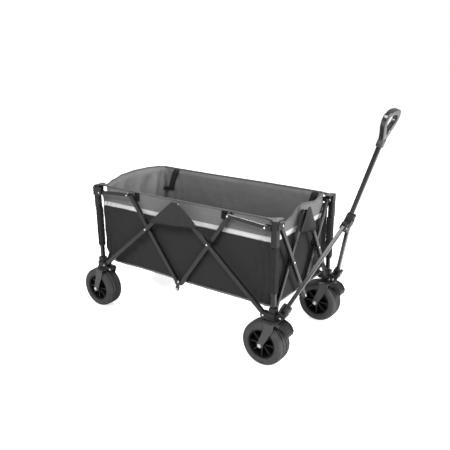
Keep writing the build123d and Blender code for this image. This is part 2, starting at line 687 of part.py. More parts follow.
# ---------------------------------------------------------------- cloth basket
def cloth_basket():
    with BuildPart() as basket:
        with BuildSketch(Plane.XY.offset(BASKET_Z0)):
            RectangleRounded(2 * BASKET_X, 2 * BASKET_Y, BASKET_CORNER_R)
        extrude(amount=BASKET_Z1 - BASKET_Z0)
        with BuildSketch(Plane.XY.offset(BASKET_Z0 + CLOTH)):
            RectangleRounded(
                2 * (BASKET_X - CLOTH), 2 * (BASKET_Y - CLOTH), BASKET_CORNER_R - CLOTH
            )
        extrude(amount=BASKET_Z1, mode=Mode.SUBTRACT)
    save(basket.part, "basket")


# ---------------------------------------------------------------- build
for side_name, side in SIDES.items():
    for end_name, end in ENDS.items():
        place = (f"{side_name}_{end_name}", end, side)
        lower_bracket(*place)
        corner_post(*place)
        top_cap(*place)
        fork(*place)
        axle_bolt(*place)
        wheel_piece("rim", RIM_HALF, *place, spokes=8)
        wheel_piece("tyre", TYRE_HALF, *place)
        if end > 0:
            brake_lever(*place)
        outer_long_tube(side_name, side, end)
        inner_long_tube(side_name, side, end)
        top_link(side_name, side, end_name, end)
    handle_knuckle(side_name, side)
    handle_leg(side_name, side)

for end_name, end in ENDS.items():
    for number in END_TUBES:
        end_tube(end_name, end, number)

handle_hub()
handle_lock_button()
handle_tube()
handle_grip()
cloth_basket()
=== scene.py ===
"""Looks for a folding camp wagon: its cloth, rivets, tyres, materials, camera and lights.

Metres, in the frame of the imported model.  x runs from the rear (-x) to the front (+x), where
the handle is; y from the near side (-y) to the far side (+y); z is up, with the floor at 0.
"""
import json
import math
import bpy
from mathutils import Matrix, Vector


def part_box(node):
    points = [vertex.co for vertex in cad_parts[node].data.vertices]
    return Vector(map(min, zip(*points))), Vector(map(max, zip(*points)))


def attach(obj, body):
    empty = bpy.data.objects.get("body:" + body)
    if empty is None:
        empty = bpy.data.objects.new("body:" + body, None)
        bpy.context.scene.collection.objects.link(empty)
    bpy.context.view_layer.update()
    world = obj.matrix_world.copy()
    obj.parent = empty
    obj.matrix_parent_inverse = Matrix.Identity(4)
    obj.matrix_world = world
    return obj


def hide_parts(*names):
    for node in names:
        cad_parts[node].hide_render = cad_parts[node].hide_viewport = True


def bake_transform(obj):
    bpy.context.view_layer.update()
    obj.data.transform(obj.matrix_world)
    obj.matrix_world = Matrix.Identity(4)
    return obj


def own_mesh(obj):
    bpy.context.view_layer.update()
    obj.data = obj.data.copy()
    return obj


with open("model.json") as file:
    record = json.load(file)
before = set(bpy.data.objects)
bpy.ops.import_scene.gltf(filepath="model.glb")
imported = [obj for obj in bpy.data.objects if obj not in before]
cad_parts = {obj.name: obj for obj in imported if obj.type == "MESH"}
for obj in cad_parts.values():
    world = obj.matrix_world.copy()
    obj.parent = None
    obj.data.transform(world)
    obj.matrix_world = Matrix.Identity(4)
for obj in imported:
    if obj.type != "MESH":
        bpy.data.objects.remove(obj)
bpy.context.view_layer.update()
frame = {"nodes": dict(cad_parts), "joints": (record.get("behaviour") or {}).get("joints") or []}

from fnmatch import fnmatchcase

import bpy
from mathutils import Vector, Matrix, noise

JOINTS = {joint["name"]: joint for joint in frame["joints"]}


def at(joint):
    return Vector(JOINTS[joint]["pos_m"])


# Frame
POST_X = abs(at("rear_end_low_pivot").x)
POST_Y = abs(at("fold").y)
END_PIVOT_Y = abs(at("rear_end_low_pivot").y)
LOW_Z = at("fold").z
CAP_Z = at("rear_end_top_pivot").z
TOP_PIVOT = at("near_top_pivot")        # where the long tubes meet, mid length
LONG_SLOPE = 358.0 / 427.0              # rise over run of the long tubes, both in mm
END_SLOPE = (CAP_Z - LOW_Z) / END_PIVOT_Y

# Cloth basket: half length, half width, foot and rim heights
BASKET_LOW, BASKET_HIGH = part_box("basket")
CLOTH_X = BASKET_HIGH.x + 0.0012
CLOTH_Y = BASKET_HIGH.y
CLOTH_FOOT = BASKET_LOW.z
RIM_Z = BASKET_HIGH.z - 0.002
CORNER_RADIUS = 0.008
LINER_GAP = 0.0055
TAPE_LOW, TAPE_HIGH = 0.480, 0.500      # heights of the reflective tape
TAPE_THICK = 0.0008
TAPE_LIFT = 0.0009                      # how far the tape stands off the cloth
BAND_FOOT = TAPE_HIGH - 0.002           # the grey band starts under the tape

SIGN = {"near": -1, "far": 1, "rear": -1, "front": 1}
SIDES = (("near", -1), ("far", 1))
ENDS = (("rear", -1), ("front", 1))
CORNERS = (("near_rear", -1, -1), ("near_front", 1, -1), ("far_front", 1, 1), ("far_rear", -1, 1))


# ------------------------------------------------------------------ materials
class MaterialNodes:
    """One material's node tree, with short calls for the nodes used here."""

    def __init__(self, name):
        self.mat = bpy.data.materials.new(name)
        self.mat.use_nodes = True
        self.tree = self.mat.node_tree
        self.bsdf = self.tree.nodes["Principled BSDF"]

    def add(self, kind, **settings):
        node = self.tree.nodes.new("ShaderNode" + kind)
        for key, value in settings.items():
            setattr(node, key, value)
        return node

    def link(self, output, socket):
        self.tree.links.new(output, socket)

    def calc(self, operation, *operands):
        node = self.add("Math", operation=operation)
        for i, operand in enumerate(operands):
            if isinstance(operand, (int, float)):
                node.inputs[i].default_value = operand
            else:
                self.link(operand, node.inputs[i])
        return node.outputs[0]

    def scaled(self, value, gain, offset):
        return self.calc("ADD", self.calc("MULTIPLY", value, gain), offset)

    def coords(self, which="Object"):
        return self.add("TexCoord").outputs[which]

    def split(self, vector):
        node = self.add("SeparateXYZ")
        self.link(vector, node.inputs[0])
        return node.outputs

    def noise(self, vector, scale, detail=3.0, rough=0.55):
        node = self.add("TexNoise")
        node.inputs["Scale"].default_value = scale
        node.inputs["Detail"].default_value = detail
        node.inputs["Roughness"].default_value = rough
        self.link(vector, node.inputs["Vector"])
        return node.outputs["Fac"]

    def ramp(self, fac, dark, light, start=0.3, stop=0.7):
        node = self.add("ValToRGB")
        ends = node.color_ramp.elements
        ends[0].position, ends[1].position = start, stop
        ends[0].color, ends[1].color = (*dark, 1), (*light, 1)
        self.link(fac, node.inputs["Fac"])
        return node.outputs["Color"]

    def bump(self, height, distance, strength, normal=None):
        node = self.add("Bump")
        node.inputs["Strength"].default_value = strength
        node.inputs["Distance"].default_value = distance
        self.link(height, node.inputs["Height"])
        if normal is not None:
            self.link(normal, node.inputs["Normal"])
        return node.outputs["Normal"]

    def set(self, **values):
        """Set or link inputs of the surface; an underscore stands for a space."""
        for key, value in values.items():
            socket = self.bsdf.inputs[key.replace("_", " ")]
            if isinstance(value, (int, float, tuple)):
                socket.default_value = value
            else:
                self.link(value, socket)


def grey(value, warm=0.0):
    return (value * (1 + warm), value, value * (1 - warm))


def worn_and_highlit(nodes, coords, colour, edge, tone, wear_and_highlight):
    """Mix a paler tone in where the rounded edge leaves the true normal: edge wear and a painted
    highlight along the edges.
    """
    geometry = nodes.add("NewGeometry")
    facing = nodes.add("VectorMath", operation="DOT_PRODUCT")
    nodes.link(edge.outputs["Normal"], facing.inputs[0])
    nodes.link(geometry.outputs["Normal"], facing.inputs[1])
    off = nodes.calc("SUBTRACT", 1.0, facing.outputs["Value"])
    edges = nodes.calc("MINIMUM", nodes.calc("MULTIPLY", off, 6.0), 1.0)    # 6: edge contrast
    wear_and_highlight_mask = nodes.calc("MULTIPLY", edges, nodes.noise(coords, scale=160.0, detail=4.0))
    mix = nodes.add("Mix", data_type="RGBA")
    factor, base, pale = mix.inputs[0], mix.inputs[6], mix.inputs[7]
    nodes.link(nodes.calc("MULTIPLY", wear_and_highlight_mask, wear_and_highlight), factor)
    nodes.link(colour, base)
    # Pale edge colour: wear, and a painted highlight along the edges
    pale.default_value = (*grey(min(0.6, tone * 5 + 0.24)), 1)
    return mix.outputs[2]


def hard(name, tone, rough, metal=0.0, grain=900.0, grain_depth=0.00012, round_edge=0.0008,
         wear_and_highlight=0.0, coat=0.0, spread=0.18, blotch=14.0, specular=0.5):
    """Paint, bare metal or moulded plastic: tone drift, fine grain, softened edges, and paler edges
    painted as wear and as a highlight.
    """
    nodes = MaterialNodes(name)
    coords = nodes.coords()
    drift = nodes.noise(coords, scale=blotch, detail=5.0)
    colour = nodes.ramp(drift, grey(tone * (1 - spread)), grey(tone * (1 + spread)))
    edge = nodes.add("Bevel", samples=4)
    edge.inputs["Radius"].default_value = round_edge
    # Paler edges: wear, and a painted highlight
    if wear_and_highlight > 0:
        colour = worn_and_highlit(nodes, coords, colour, edge, tone, wear_and_highlight)
    smears = nodes.noise(coords, scale=45.0, detail=4.0)
    roughness = nodes.scaled(smears, gain=0.22, offset=rough - 0.11)
    fine = nodes.bump(nodes.noise(coords, scale=grain, detail=2.0), distance=grain_depth,
                      strength=0.6, normal=edge.outputs["Normal"])
    nodes.set(Base_Color=colour, Roughness=roughness, Metallic=metal, Normal=fine,
              Coat_Weight=coat, Coat_Roughness=0.18, Specular_IOR_Level=specular)
    return nodes.mat


def woven(name, tone, pitch=0.0012, rough=0.78, sheen=0.030, crumple=0.004, weave=0.00022,
          spread=0.12, twill=False, painted_foot_shade=None):
    """Cloth on a UV map in metres: crossed threads, slow tone drift and soft crumples.

    Where a foot share is given, that share of the tone is left low in the basket: painted shade,
    darker towards the basket's floor.
    """
    nodes = MaterialNodes(name)
    uv = nodes.coords("UV")
    place = nodes.split(uv)
    turns = 2 * math.pi / pitch
    warp = nodes.calc("MULTIPLY", place[0], turns)
    weft = nodes.calc("MULTIPLY", place[1], turns)
    if twill:
        threads = nodes.calc("SINE", nodes.calc("ADD", warp, weft))
    else:
        threads = nodes.calc("MULTIPLY", nodes.calc("SINE", warp), nodes.calc("SINE", weft))
    coords = nodes.coords()
    drift = nodes.noise(coords, scale=7.0, detail=6.0, rough=0.6)
    fuzz = nodes.noise(uv, scale=1400.0, detail=2.0)
    light = nodes.calc("ADD", nodes.scaled(drift, gain=spread * 2, offset=1 - spread),
                       nodes.calc("MULTIPLY", threads, 0.07))       # 0.07: thread contrast
    light = nodes.calc("MULTIPLY", light, nodes.scaled(fuzz, gain=0.2, offset=0.9))
    # Painted shade: the cloth darkens towards the floor of the basket
    if painted_foot_shade is not None:
        dark_z, fade_height = 0.36, 0.21
        above = nodes.calc("SUBTRACT", nodes.split(coords)[2], dark_z)
        rise = nodes.calc("MAXIMUM", nodes.calc("DIVIDE", above, fade_height), 0.0)
        rise = nodes.calc("MINIMUM", rise, 1.0)
        fall = nodes.scaled(rise, gain=1 - painted_foot_shade, offset=painted_foot_shade)
        light = nodes.calc("MULTIPLY", light, fall)
    colour = nodes.add("CombineColor")
    for channel in range(3):
        nodes.link(nodes.calc("MULTIPLY", light, tone), colour.inputs[channel])
    soft = nodes.bump(nodes.noise(coords, scale=16.0, detail=4.0, rough=0.5),
                      distance=crumple, strength=0.55)
    fine = nodes.bump(threads, distance=weave, strength=0.8, normal=soft)
    nodes.set(Base_Color=colour.outputs[0], Normal=fine,
              Roughness=nodes.scaled(drift, gain=0.2, offset=rough - 0.1),
              Sheen_Weight=sheen, Sheen_Roughness=0.5, Specular_IOR_Level=0.12)
    return nodes.mat


def beaded(name, tone):
    """Reflective tape: tiny beads, slightly mottled."""
    nodes = MaterialNodes(name)
    uv = nodes.coords("UV")
    beads = nodes.add("TexVoronoi")
    beads.inputs["Scale"].default_value = 750.0
    nodes.link(uv, beads.inputs["Vector"])
    drift = nodes.noise(nodes.coords(), scale=12.0, detail=5.0)
    nodes.set(Base_Color=nodes.ramp(drift, grey(tone * 0.86), grey(tone * 1.08)),
              Normal=nodes.bump(beads.outputs["Distance"], distance=0.0002, strength=0.5),
              Roughness=nodes.scaled(drift, gain=0.25, offset=0.3), Sheen_Weight=0.02)
    return nodes.mat


def rubber(name, tone):
    """Matt rubber with a dusty, slightly warm drift of tone."""
    nodes = MaterialNodes(name)
    coords = nodes.coords()
    dust = nodes.noise(coords, scale=30.0, detail=6.0, rough=0.65)
    colour = nodes.ramp(dust, grey(tone * 0.82, warm=0.01), grey(tone * 1.22, warm=0.02),
                        start=0.35)
    nodes.set(Base_Color=colour, Roughness=nodes.scaled(dust, gain=0.2, offset=0.62),
              Normal=nodes.bump(nodes.noise(coords, scale=700.0), distance=0.00025, strength=0.7),
              Specular_IOR_Level=0.25)
    return nodes.mat


GLOSS_PAINT = dict(tone=0.013, rough=0.24, grain_depth=0.00005, round_edge=0.0018, coat=0.40,
                   specular=0.22)
# Tube and post edges are painted paler: wear, and a painted highlight
TUBE_PAINT = hard("tube_paint", grain=1100, wear_and_highlight=0.42, **GLOSS_PAINT)
POST_PAINT = hard("post_paint", grain=1000, wear_and_highlight=0.40, **GLOSS_PAINT)
FORK_PAINT = hard("fork_paint", tone=0.045, rough=0.36, round_edge=0.0009, wear_and_highlight=0.4, coat=0.25,
                  specular=0.35)
MOULDED = hard("moulded_nylon", tone=0.022, rough=0.46, grain=1500, grain_depth=0.0002,
               round_edge=0.0013, wear_and_highlight=0.18, spread=0.14, specular=0.25)
BLACK_PLASTIC = hard("black_plastic", tone=0.014, rough=0.42, grain=1300, round_edge=0.0012,
                     wear_and_highlight=0.2, coat=0.1, specular=0.3)
RIM_BLACK = hard("rim_plastic", tone=0.005, rough=0.50, wear_and_highlight=0.12, coat=0.15, specular=0.2)
GRIP_GLOSS = hard("grip_plastic", tone=0.022, rough=0.26, grain=700, grain_depth=0.00004,
                  round_edge=0.001, coat=0.7, spread=0.1)
ZINC = hard("zinc_plate", tone=0.62, rough=0.30, metal=1.0, grain=1600, round_edge=0.0006,
            spread=0.1, blotch=60.0)
RIVET = hard("rivet_steel", tone=0.80, rough=0.22, metal=1.0, grain=1800, grain_depth=0.00005,
             round_edge=0.0004, spread=0.06, blotch=80.0)
TREAD = rubber("tyre_rubber", tone=0.060)
TREAD_TOP = rubber("tyre_tread", tone=0.092)
# Darker rubber in the grooves: painted shade in the recesses
GROOVE_SHADE_RUBBER = rubber("tyre_groove_shade", tone=0.018)
CLOTH_DARK = woven("cloth_lower", tone=0.030)
CLOTH_BAND = woven("cloth_upper_band", tone=0.185, spread=0.1)
# The liner and the floor strips are painted darker low in the basket, as shade
CLOTH_LINER = woven("cloth_liner", tone=0.190, sheen=0.036, crumple=0.008, spread=0.16,
                    painted_foot_shade=0.50)
CLOTH_FLAP = woven("cloth_flap", tone=0.040, sheen=0.024, crumple=0.003)
CLOTH_SLEEVE = woven("cloth_sleeve", tone=0.026, sheen=0.018, crumple=0.002)
CORD = dict(pitch=0.0016, twill=True, weave=0.0003, crumple=0.0005)
PIPING = woven("piping", tone=0.20, **CORD)
RIM_BINDING = woven("rim_binding", tone=0.15, **CORD)
WEBBING = woven("webbing", tone=0.020, pitch=0.0022, twill=True, weave=0.0005, crumple=0.0006,
                rough=0.65)
HOOK_TAPE = woven("hook_tape", tone=0.012, pitch=0.0009, weave=0.0005, crumple=0.0004, rough=0.9)
THREAD = woven("thread", tone=0.30, pitch=0.0006, twill=True, weave=0.0001, crumple=0.0001)
TAPE = beaded("reflective_tape", tone=0.62)

# Name pattern of a frame piece, its material; the first match counts
PART_MATERIALS = (
    ("lower_bracket*", MOULDED), ("top_cap*", MOULDED),
    ("handle_knuckle*", MOULDED), ("handle_hub*", MOULDED),
    ("post_*", POST_PAINT), ("*fork*", FORK_PAINT), ("axle*", ZINC), ("rim*", RIM_BLACK),
    ("brake*", BLACK_PLASTIC), ("handle_lock_button", BLACK_PLASTIC),
    ("handle_grip", GRIP_GLOSS), ("basket", CLOTH_DARK), ("tyre*", TREAD), ("*", TUBE_PAINT),
)
for part_name, part in frame["nodes"].items():
    part.data.materials.clear()
    part.data.materials.append(
        next(mat for pattern, mat in PART_MATERIALS if fnmatchcase(part_name, pattern)))


# ------------------------------------------------------------------ mesh helpers
def lerp(start, stop, share):
    return start + (stop - start) * share


def ease(share):
    share = max(0.0, min(1.0, share))
    return share * share * (3 - 2 * share)


def steps(start, stop, count):
    return [start + (stop - start) * i / count for i in range(count + 1)]


def columns(count, forward):
    return steps(0, 1, count) if forward else steps(1, 0, count)


def add_mesh(name, verts, faces, materials, uvs, slots=None, smooth=True):
    """A mesh object; uvs has one pair for each vertex, slots one material slot for each face."""
    mesh = bpy.data.meshes.new(name)
    mesh.from_pydata([tuple(v) for v in verts], [], faces)
    for material in materials:
        mesh.materials.append(material)
    if slots:
        mesh.polygons.foreach_set("material_index", slots)
    mesh.polygons.foreach_set("use_smooth", [smooth] * len(mesh.polygons))
    layer = mesh.uv_layers.new(name="UVMap")
    layer.data.foreach_set("uv", [c for loop in mesh.loops for c in uvs[loop.vertex_index]])
    mesh.validate()
    mesh.update()
    obj = bpy.data.objects.new(name, mesh)
    bpy.context.scene.collection.objects.link(obj)
    return obj


def sheet_normal(grid, i, j):
    along = grid[min(i + 1, len(grid) - 1)][j] - grid[max(i - 1, 0)][j]
    up = grid[i][min(j + 1, len(grid[0]) - 1)] - grid[i][max(j - 1, 0)]
    normal = along.cross(up)
    return normal.normalized() if normal.length > 1e-12 else Vector((0, 0, 1))


def sheet(name, surface, alongs, ups, thick, materials, front_slot=None, back_slot=0):
    """A closed thin sheet with its front on surface(along, up) and its thickness behind.

    front_slot(up) picks the front's material slot.
    """
    rows = len(ups)
    grid = [[Vector(surface(along, up)) for up in ups] for along in alongs]
    verts, uvs = [], []
    length = 0.0
    for i, column in enumerate(grid):
        if i:
            length += (column[rows // 2] - grid[i - 1][rows // 2]).length
        height = 0.0
        for j, point in enumerate(column):
            if j:
                height += (point - column[j - 1]).length
            verts.append(point)
            uvs.append((length, height))
    base = len(verts)
    for i, column in enumerate(grid):
        for j, point in enumerate(column):
            verts.append(point - sheet_normal(grid, i, j) * thick)
    uvs += uvs
    faces, slots = [], []
    for i in range(len(grid) - 1):
        for j in range(rows - 1):
            quad = (i * rows + j, (i + 1) * rows + j, (i + 1) * rows + j + 1, i * rows + j + 1)
            faces.append(quad)
            slots.append(front_slot(0.5 * (ups[j] + ups[j + 1])) if front_slot else 0)
            faces.append(tuple(base + corner for corner in reversed(quad)))
            slots.append(back_slot)
    last = (len(grid) - 1) * rows
    edges = []
    for j in range(rows - 1):
        edges += [(j + 1, j), (last + j, last + j + 1)]
    for i in range(0, last, rows):
        edges += [(i, i + rows), (i + 2 * rows - 1, i + rows - 1)]
    for start, stop in edges:
        faces.append((start, base + start, base + stop, stop))
        slots.append(back_slot)
    return add_mesh(name, verts, faces, materials, uvs, slots)


def sweep(name, path, profile, material, side=None):
    """A capped bar: profile pairs (along side, along the third direction) carried on a path."""
    path = [Vector(p) for p in path]
    count, size = len(path), len(profile)
    verts, uvs, faces = [], [], []
    girth = [0.0]
    for start, stop in zip(profile, profile[1:]):
        girth.append(girth[-1] + math.hypot(stop[0] - start[0], stop[1] - start[1]))
    previous = None
    run = 0.0
    for i, point in enumerate(path):
        tangent = (path[min(i + 1, count - 1)] - path[max(i - 1, 0)]).normalized()
        if side is not None:
            first = Vector(side)
        elif previous is None:
            first = tangent.cross(Vector((0, 0, 1)) if abs(tangent.z) < 0.9
                                  else Vector((1, 0, 0)))
        else:
            first = previous
        first = (first - tangent * first.dot(tangent)).normalized()
        previous = first
        second = tangent.cross(first)
        if i:
            run += (point - path[i - 1]).length
        for q, (offset, rise) in enumerate(profile):
            verts.append(point + first * offset + second * rise)
            uvs.append((run, girth[q]))
    for i in range(count - 1):
        for q in range(size):
            here, after = i * size + q, i * size + (q + 1) % size
            faces.append((here, after, after + size, here + size))
    faces.append(tuple(reversed(range(size))))
    faces.append(tuple((count - 1) * size + q for q in range(size)))
    return add_mesh(name, verts, faces, [material], uvs)


def oval(radius, sides, stretch):
    angles = [2 * math.pi * i / sides for i in range(sides)]
    return [(radius * math.cos(a), radius * stretch * math.sin(a)) for a in angles]


def strap_profile(width, thick):
    x, y = width / 2, thick / 2
    return [(-x, -y * 0.4), (-x + y, -y), (x - y, -y), (x, -y * 0.4),
            (x, y * 0.4), (x - y, y), (-x + y, y), (-x, y * 0.4)]


def subdivide(path):
    """Split each length of a path in four."""
    path = [Vector(p) for p in path]
    fine = [start.lerp(stop, i / 4) for start, stop in zip(path, path[1:]) for i in range(4)]
    return fine + [path[-1]]


def stitches(name, points, material, radius, length, gap):
    """A row of short five-sided threads along a line."""
    sides = 5
    verts, faces = [], []
    run, following = 0.0, 0.0
    for start, stop in zip(points, points[1:]):
        start, stop = Vector(start), Vector(stop)
        segment = (stop - start).length
        if segment < 1e-9:
            continue
        along = (stop - start) / segment
        while following < run + segment:
            foot = start + along * (following - run)
            side = along.cross(Vector((0, 0, 1)) if abs(along.z) < 0.9
                               else Vector((1, 0, 0))).normalized()
            across = along.cross(side)
            base = len(verts)
            for centre in (foot, foot + along * length):
                for i in range(sides):
                    angle = 2 * math.pi * i / sides
                    verts.append(centre + side * radius * math.cos(angle)
                                 + across * radius * math.sin(angle))
            for i in range(sides):
                here, after = base + i, base + (i + 1) % sides
                faces.append((here, after, after + sides, here + sides))
            faces.append(tuple(base + i for i in reversed(range(sides))))
            faces.append(tuple(base + sides + i for i in range(sides)))
            following += length + gap
        run += segment
    uvs = [(v.x + v.y, v.z) for v in verts]
    return add_mesh(name, verts, faces, [material], uvs, smooth=False)


def ripple(x, y, z, seed):
    """Three octaves of noise around zero."""
    total, strength, scale = 0.0, 1.0, 1.0
    for _ in range(3):
        total += strength * noise.noise(Vector(
            (x * scale + seed, y * scale - seed * 0.7, z * scale + seed * 0.31)))
        strength *= 0.5
        scale *= 2.1
    return total


def bell(distance, width):
    return math.exp(-(distance / width) ** 2)


def crease(x, z, line):
    """Depth at (x, z) of one soft crease: start x and z, stop x and z, width, depth."""
    x0, z0, x1, z1, width, depth = line
    run, rise = x1 - x0, z1 - z0
    square = run * run + rise * rise
    share = ((x - x0) * run + (z - z0) * rise) / square
    distance = ((x - x0) * rise - (z - z0) * run) / math.sqrt(square)
    return depth * bell(share - 0.4, 0.42) * bell(distance, width)


def cloth_on(piece, body):
    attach(piece, body)


def ride_wall(piece, which):
    """A basket wall rides on a corner."""
    if which in ("near", "far"):
        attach(piece, f"corner_{which}_rear")
        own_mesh(piece)
    else:
        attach(piece, f"corner_near_{which}")
        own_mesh(piece)


def cloth_on_wall(piece, which):
    ride_wall(piece, which)


# ------------------------------------------------------------------ basket: rim and foot heights
# Rim of the end walls: y, height
REAR_RIM = ((-0.201, 0.571), (-0.150, 0.586), (-0.085, 0.598), (-0.010, 0.602),
            (0.070, 0.600), (0.140, 0.594), (0.201, 0.585))
FRONT_RIM = ((-0.201, 0.566), (-0.165, 0.556), (-0.112, 0.537), (-0.075, 0.545),
             (-0.020, 0.570), (0.020, 0.577), (0.060, 0.571), (0.115, 0.564),
             (0.150, 0.569), (0.201, 0.582))


def through(place, stations):
    """A smooth curve through (place, height) stations."""
    if place <= stations[0][0]:
        return stations[0][1]
    for (start, low), (stop, high) in zip(stations, stations[1:]):
        if place <= stop:
            return lerp(low, high, ease((place - start) / (stop - start)))
    return stations[-1][1]


# Height of each wall's rim, by x on the long walls and by y on the end walls
RIM_HEIGHT = {
    "near": lambda x: RIM_Z - 0.002 * math.cos(x / CLOTH_X * math.pi / 2),
    "far": lambda x: RIM_Z + 0.0145 + 0.0008 * math.sin(9 * x),
    "rear": lambda y: through(y, REAR_RIM),
    "front": lambda y: through(y, FRONT_RIM),
}


def rear_dip(x):
    """How far the cloth dips near the rear end of its foot."""
    return 0.004 * bell(x + 0.36, 0.07)


def foot_height(x):
    return CLOTH_FOOT + 0.003 - rear_dip(x) - 0.003 * bell(x - 0.05, 0.25)


# ------------------------------------------------------------------ basket: wall surfaces
# Creases: start x (y on the end walls) and z, stop x (y) and z, width, depth
LONG_CREASES = (
    (-0.42, 0.47, -0.16, 0.29, 0.016, 0.0050), (-0.42, 0.43, -0.21, 0.26, 0.013, -0.0050),
    (-0.41, 0.37, -0.30, 0.245, 0.011, 0.0045), (-0.40, 0.50, -0.05, 0.36, 0.020, -0.0030),
    (0.40, 0.46, 0.22, 0.33, 0.016, 0.0040), (0.41, 0.40, 0.26, 0.26, 0.013, -0.0045),
    (0.40, 0.34, 0.33, 0.24, 0.010, 0.0035), (-0.12, 0.26, 0.12, 0.30, 0.020, 0.0025),
    (0.08, 0.46, 0.26, 0.40, 0.018, -0.0025),
)
END_CREASES = (
    (-0.16, 0.50, 0.02, 0.30, 0.015, 0.004), (0.16, 0.48, 0.04, 0.29, 0.014, -0.004),
    (-0.10, 0.28, 0.12, 0.33, 0.02, 0.003),
)
# Folds that fall from the rim of the end liners: y at z 0.5, width, depth
LINER_FOLDS = (
    (0.10, 0.015, 0.013), (0.145, 0.013, -0.008), (0.055, 0.018, -0.009),
    (-0.01, 0.022, 0.010), (-0.12, 0.02, 0.012), (-0.165, 0.012, -0.004),
)


def tuck(up):
    """Goes from 0 to 1 over the last of the height, where the cloth flattens into the rim."""
    return ease((up - 0.955) / 0.045)


def long_panel_depth(x, z, sign):
    """How far a long wall's outer cloth stands out from its plane."""
    seed = 7 + sign
    depth = sum(crease(-sign * x, z, line) for line in LONG_CREASES)
    depth += 0.0030 * ripple(x * 5.5, z * 5.5, 0, seed)
    depth += 0.0009 * ripple(x * 26, z * 19, 1, seed + 3)
    near_corner = max(0.0, (abs(x) - 0.33) / 0.08)
    depth += 0.0022 * near_corner * math.sin(x * 190 + 3 * math.sin(z * 14))
    return max(-0.010, min(0.0018, depth - 0.001))


def long_liner_depth(x, z, up, sign):
    depth = -0.0105 + 0.0045 * ripple(x * 4.2, z * 4.5, 0, 21 + sign)
    depth += 0.0012 * ripple(x * 18, z * 14, 2, 25 + sign)
    near_corner = max(0.0, (abs(x) - 0.29) / 0.11)
    depth += 0.0035 * near_corner * math.sin(x * 120 + 4 * math.sin(z * 11))
    depth -= 0.004 * math.sin(math.pi * min(1.0, up * 1.05))
    return min(-0.0058, depth)


def long_wall(which, along, up, liner=False):
    """A point of the near or far wall; along runs from the rear to the front."""
    sign = SIGN[which]
    reach = CLOTH_X - (LINER_GAP if liner else CORNER_RADIUS)
    x = lerp(-reach, reach, along)
    z = lerp(foot_height(x), RIM_HEIGHT[which](x), up)
    if liner:
        depth = lerp(long_liner_depth(x, z, up, sign), -0.0032, tuck(up))
    else:
        depth = lerp(long_panel_depth(x, z, sign), -0.001, tuck(up))
    return (x, sign * (CLOTH_Y + depth), z)


def end_path(sign, along, inset):
    """Footprint of an end wall with its rounded corners; along runs from near to far."""
    inset = min(inset, CORNER_RADIUS - 0.0008)
    turn = CORNER_RADIUS - inset
    centre_x, centre_y = CLOTH_X - CORNER_RADIUS, CLOTH_Y - CORNER_RADIUS
    arc = math.pi * CORNER_RADIUS / 2
    flat = 2 * centre_y
    distance = along * (2 * arc + flat)
    if distance < arc:
        angle = distance / CORNER_RADIUS
        x, y = centre_x + turn * math.sin(angle), -centre_y - turn * math.cos(angle)
    elif distance < arc + flat:
        x, y = CLOTH_X - inset, -centre_y + (distance - arc)
    else:
        angle = (distance - arc - flat) / CORNER_RADIUS
        x, y = centre_x + turn * math.cos(angle), centre_y + turn * math.sin(angle)
    return sign * x, y


def end_liner_inset(y, z, sign):
    inset = 0.0100 - 0.0050 * ripple(y * 6, z * 5, 3, 41 + sign)
    inset -= 0.0016 * ripple(y * 22, z * 15, 5, 43 + sign)
    for fold_y, width, depth in LINER_FOLDS:
        inset += depth * bell(y - fold_y - 0.25 * (z - 0.5), width) * ease((0.585 - z) / 0.06)
    return max(0.0056, inset)


def end_panel_inset(y, z, sign):
    inset = 0.001 - sum(crease(y, z, line) for line in END_CREASES)
    inset -= 0.0025 * ripple(y * 7, z * 6, 1, 31 + sign)
    inset -= 0.0008 * ripple(y * 24, z * 20, 4, 33)
    inset += 0.0026 * ease((abs(y) - 0.180) / 0.014) * bell(z - 0.556, 0.013)
    return max(-0.0006, min(0.0068, inset))


def end_wall(which, along, up, liner=False):
    """A point of the rear or front wall."""
    sign = SIGN[which]
    if liner:
        y = lerp(-(CLOTH_Y - LINER_GAP), CLOTH_Y - LINER_GAP, along)
    else:
        y = end_path(sign, along, 0.0)[1]
    z = lerp(foot_height(sign * CLOTH_X), RIM_HEIGHT[which](y), up)
    # The top of the rear wall leans out between the corners
    lean = ease((z - 0.572) / 0.030) * ease((0.190 - abs(y)) / 0.05)
    if liner:
        x = sign * (CLOTH_X - lerp(end_liner_inset(y, z, sign), 0.0032, tuck(up)))
    else:
        x, y = end_path(sign, along, lerp(end_panel_inset(y, z, sign), 0.001, tuck(up)))
    if which == "rear":
        x -= 0.006 * lean
    return (x, y, z)


def share_up(which, along, z):
    """The share of a wall's height at which it passes z."""
    if which in ("near", "far"):
        place = long_wall(which, along, 0)[0]
        foot = foot_height(place)
    else:
        place = end_path(SIGN[which], along, 0.0)[1]
        foot = foot_height(SIGN[which] * CLOTH_X)
    return (z - foot) / (RIM_HEIGHT[which](place) - foot)


# ------------------------------------------------------------------ basket: walls and floor
LONG_COLUMNS = 190
END_COLUMNS = 110
WALL_ROWS = 64
BAND_SHARE = (BAND_FOOT - (CLOTH_FOOT + 0.003)) / (RIM_Z - (CLOTH_FOOT + 0.003))
ROWS_BELOW = max(2, int(WALL_ROWS * BAND_SHARE))
# Height steps that pass exactly through the foot of the grey band
WALL_UPS = steps(0, BAND_SHARE, ROWS_BELOW) + steps(BAND_SHARE, 1, WALL_ROWS - ROWS_BELOW)[1:]


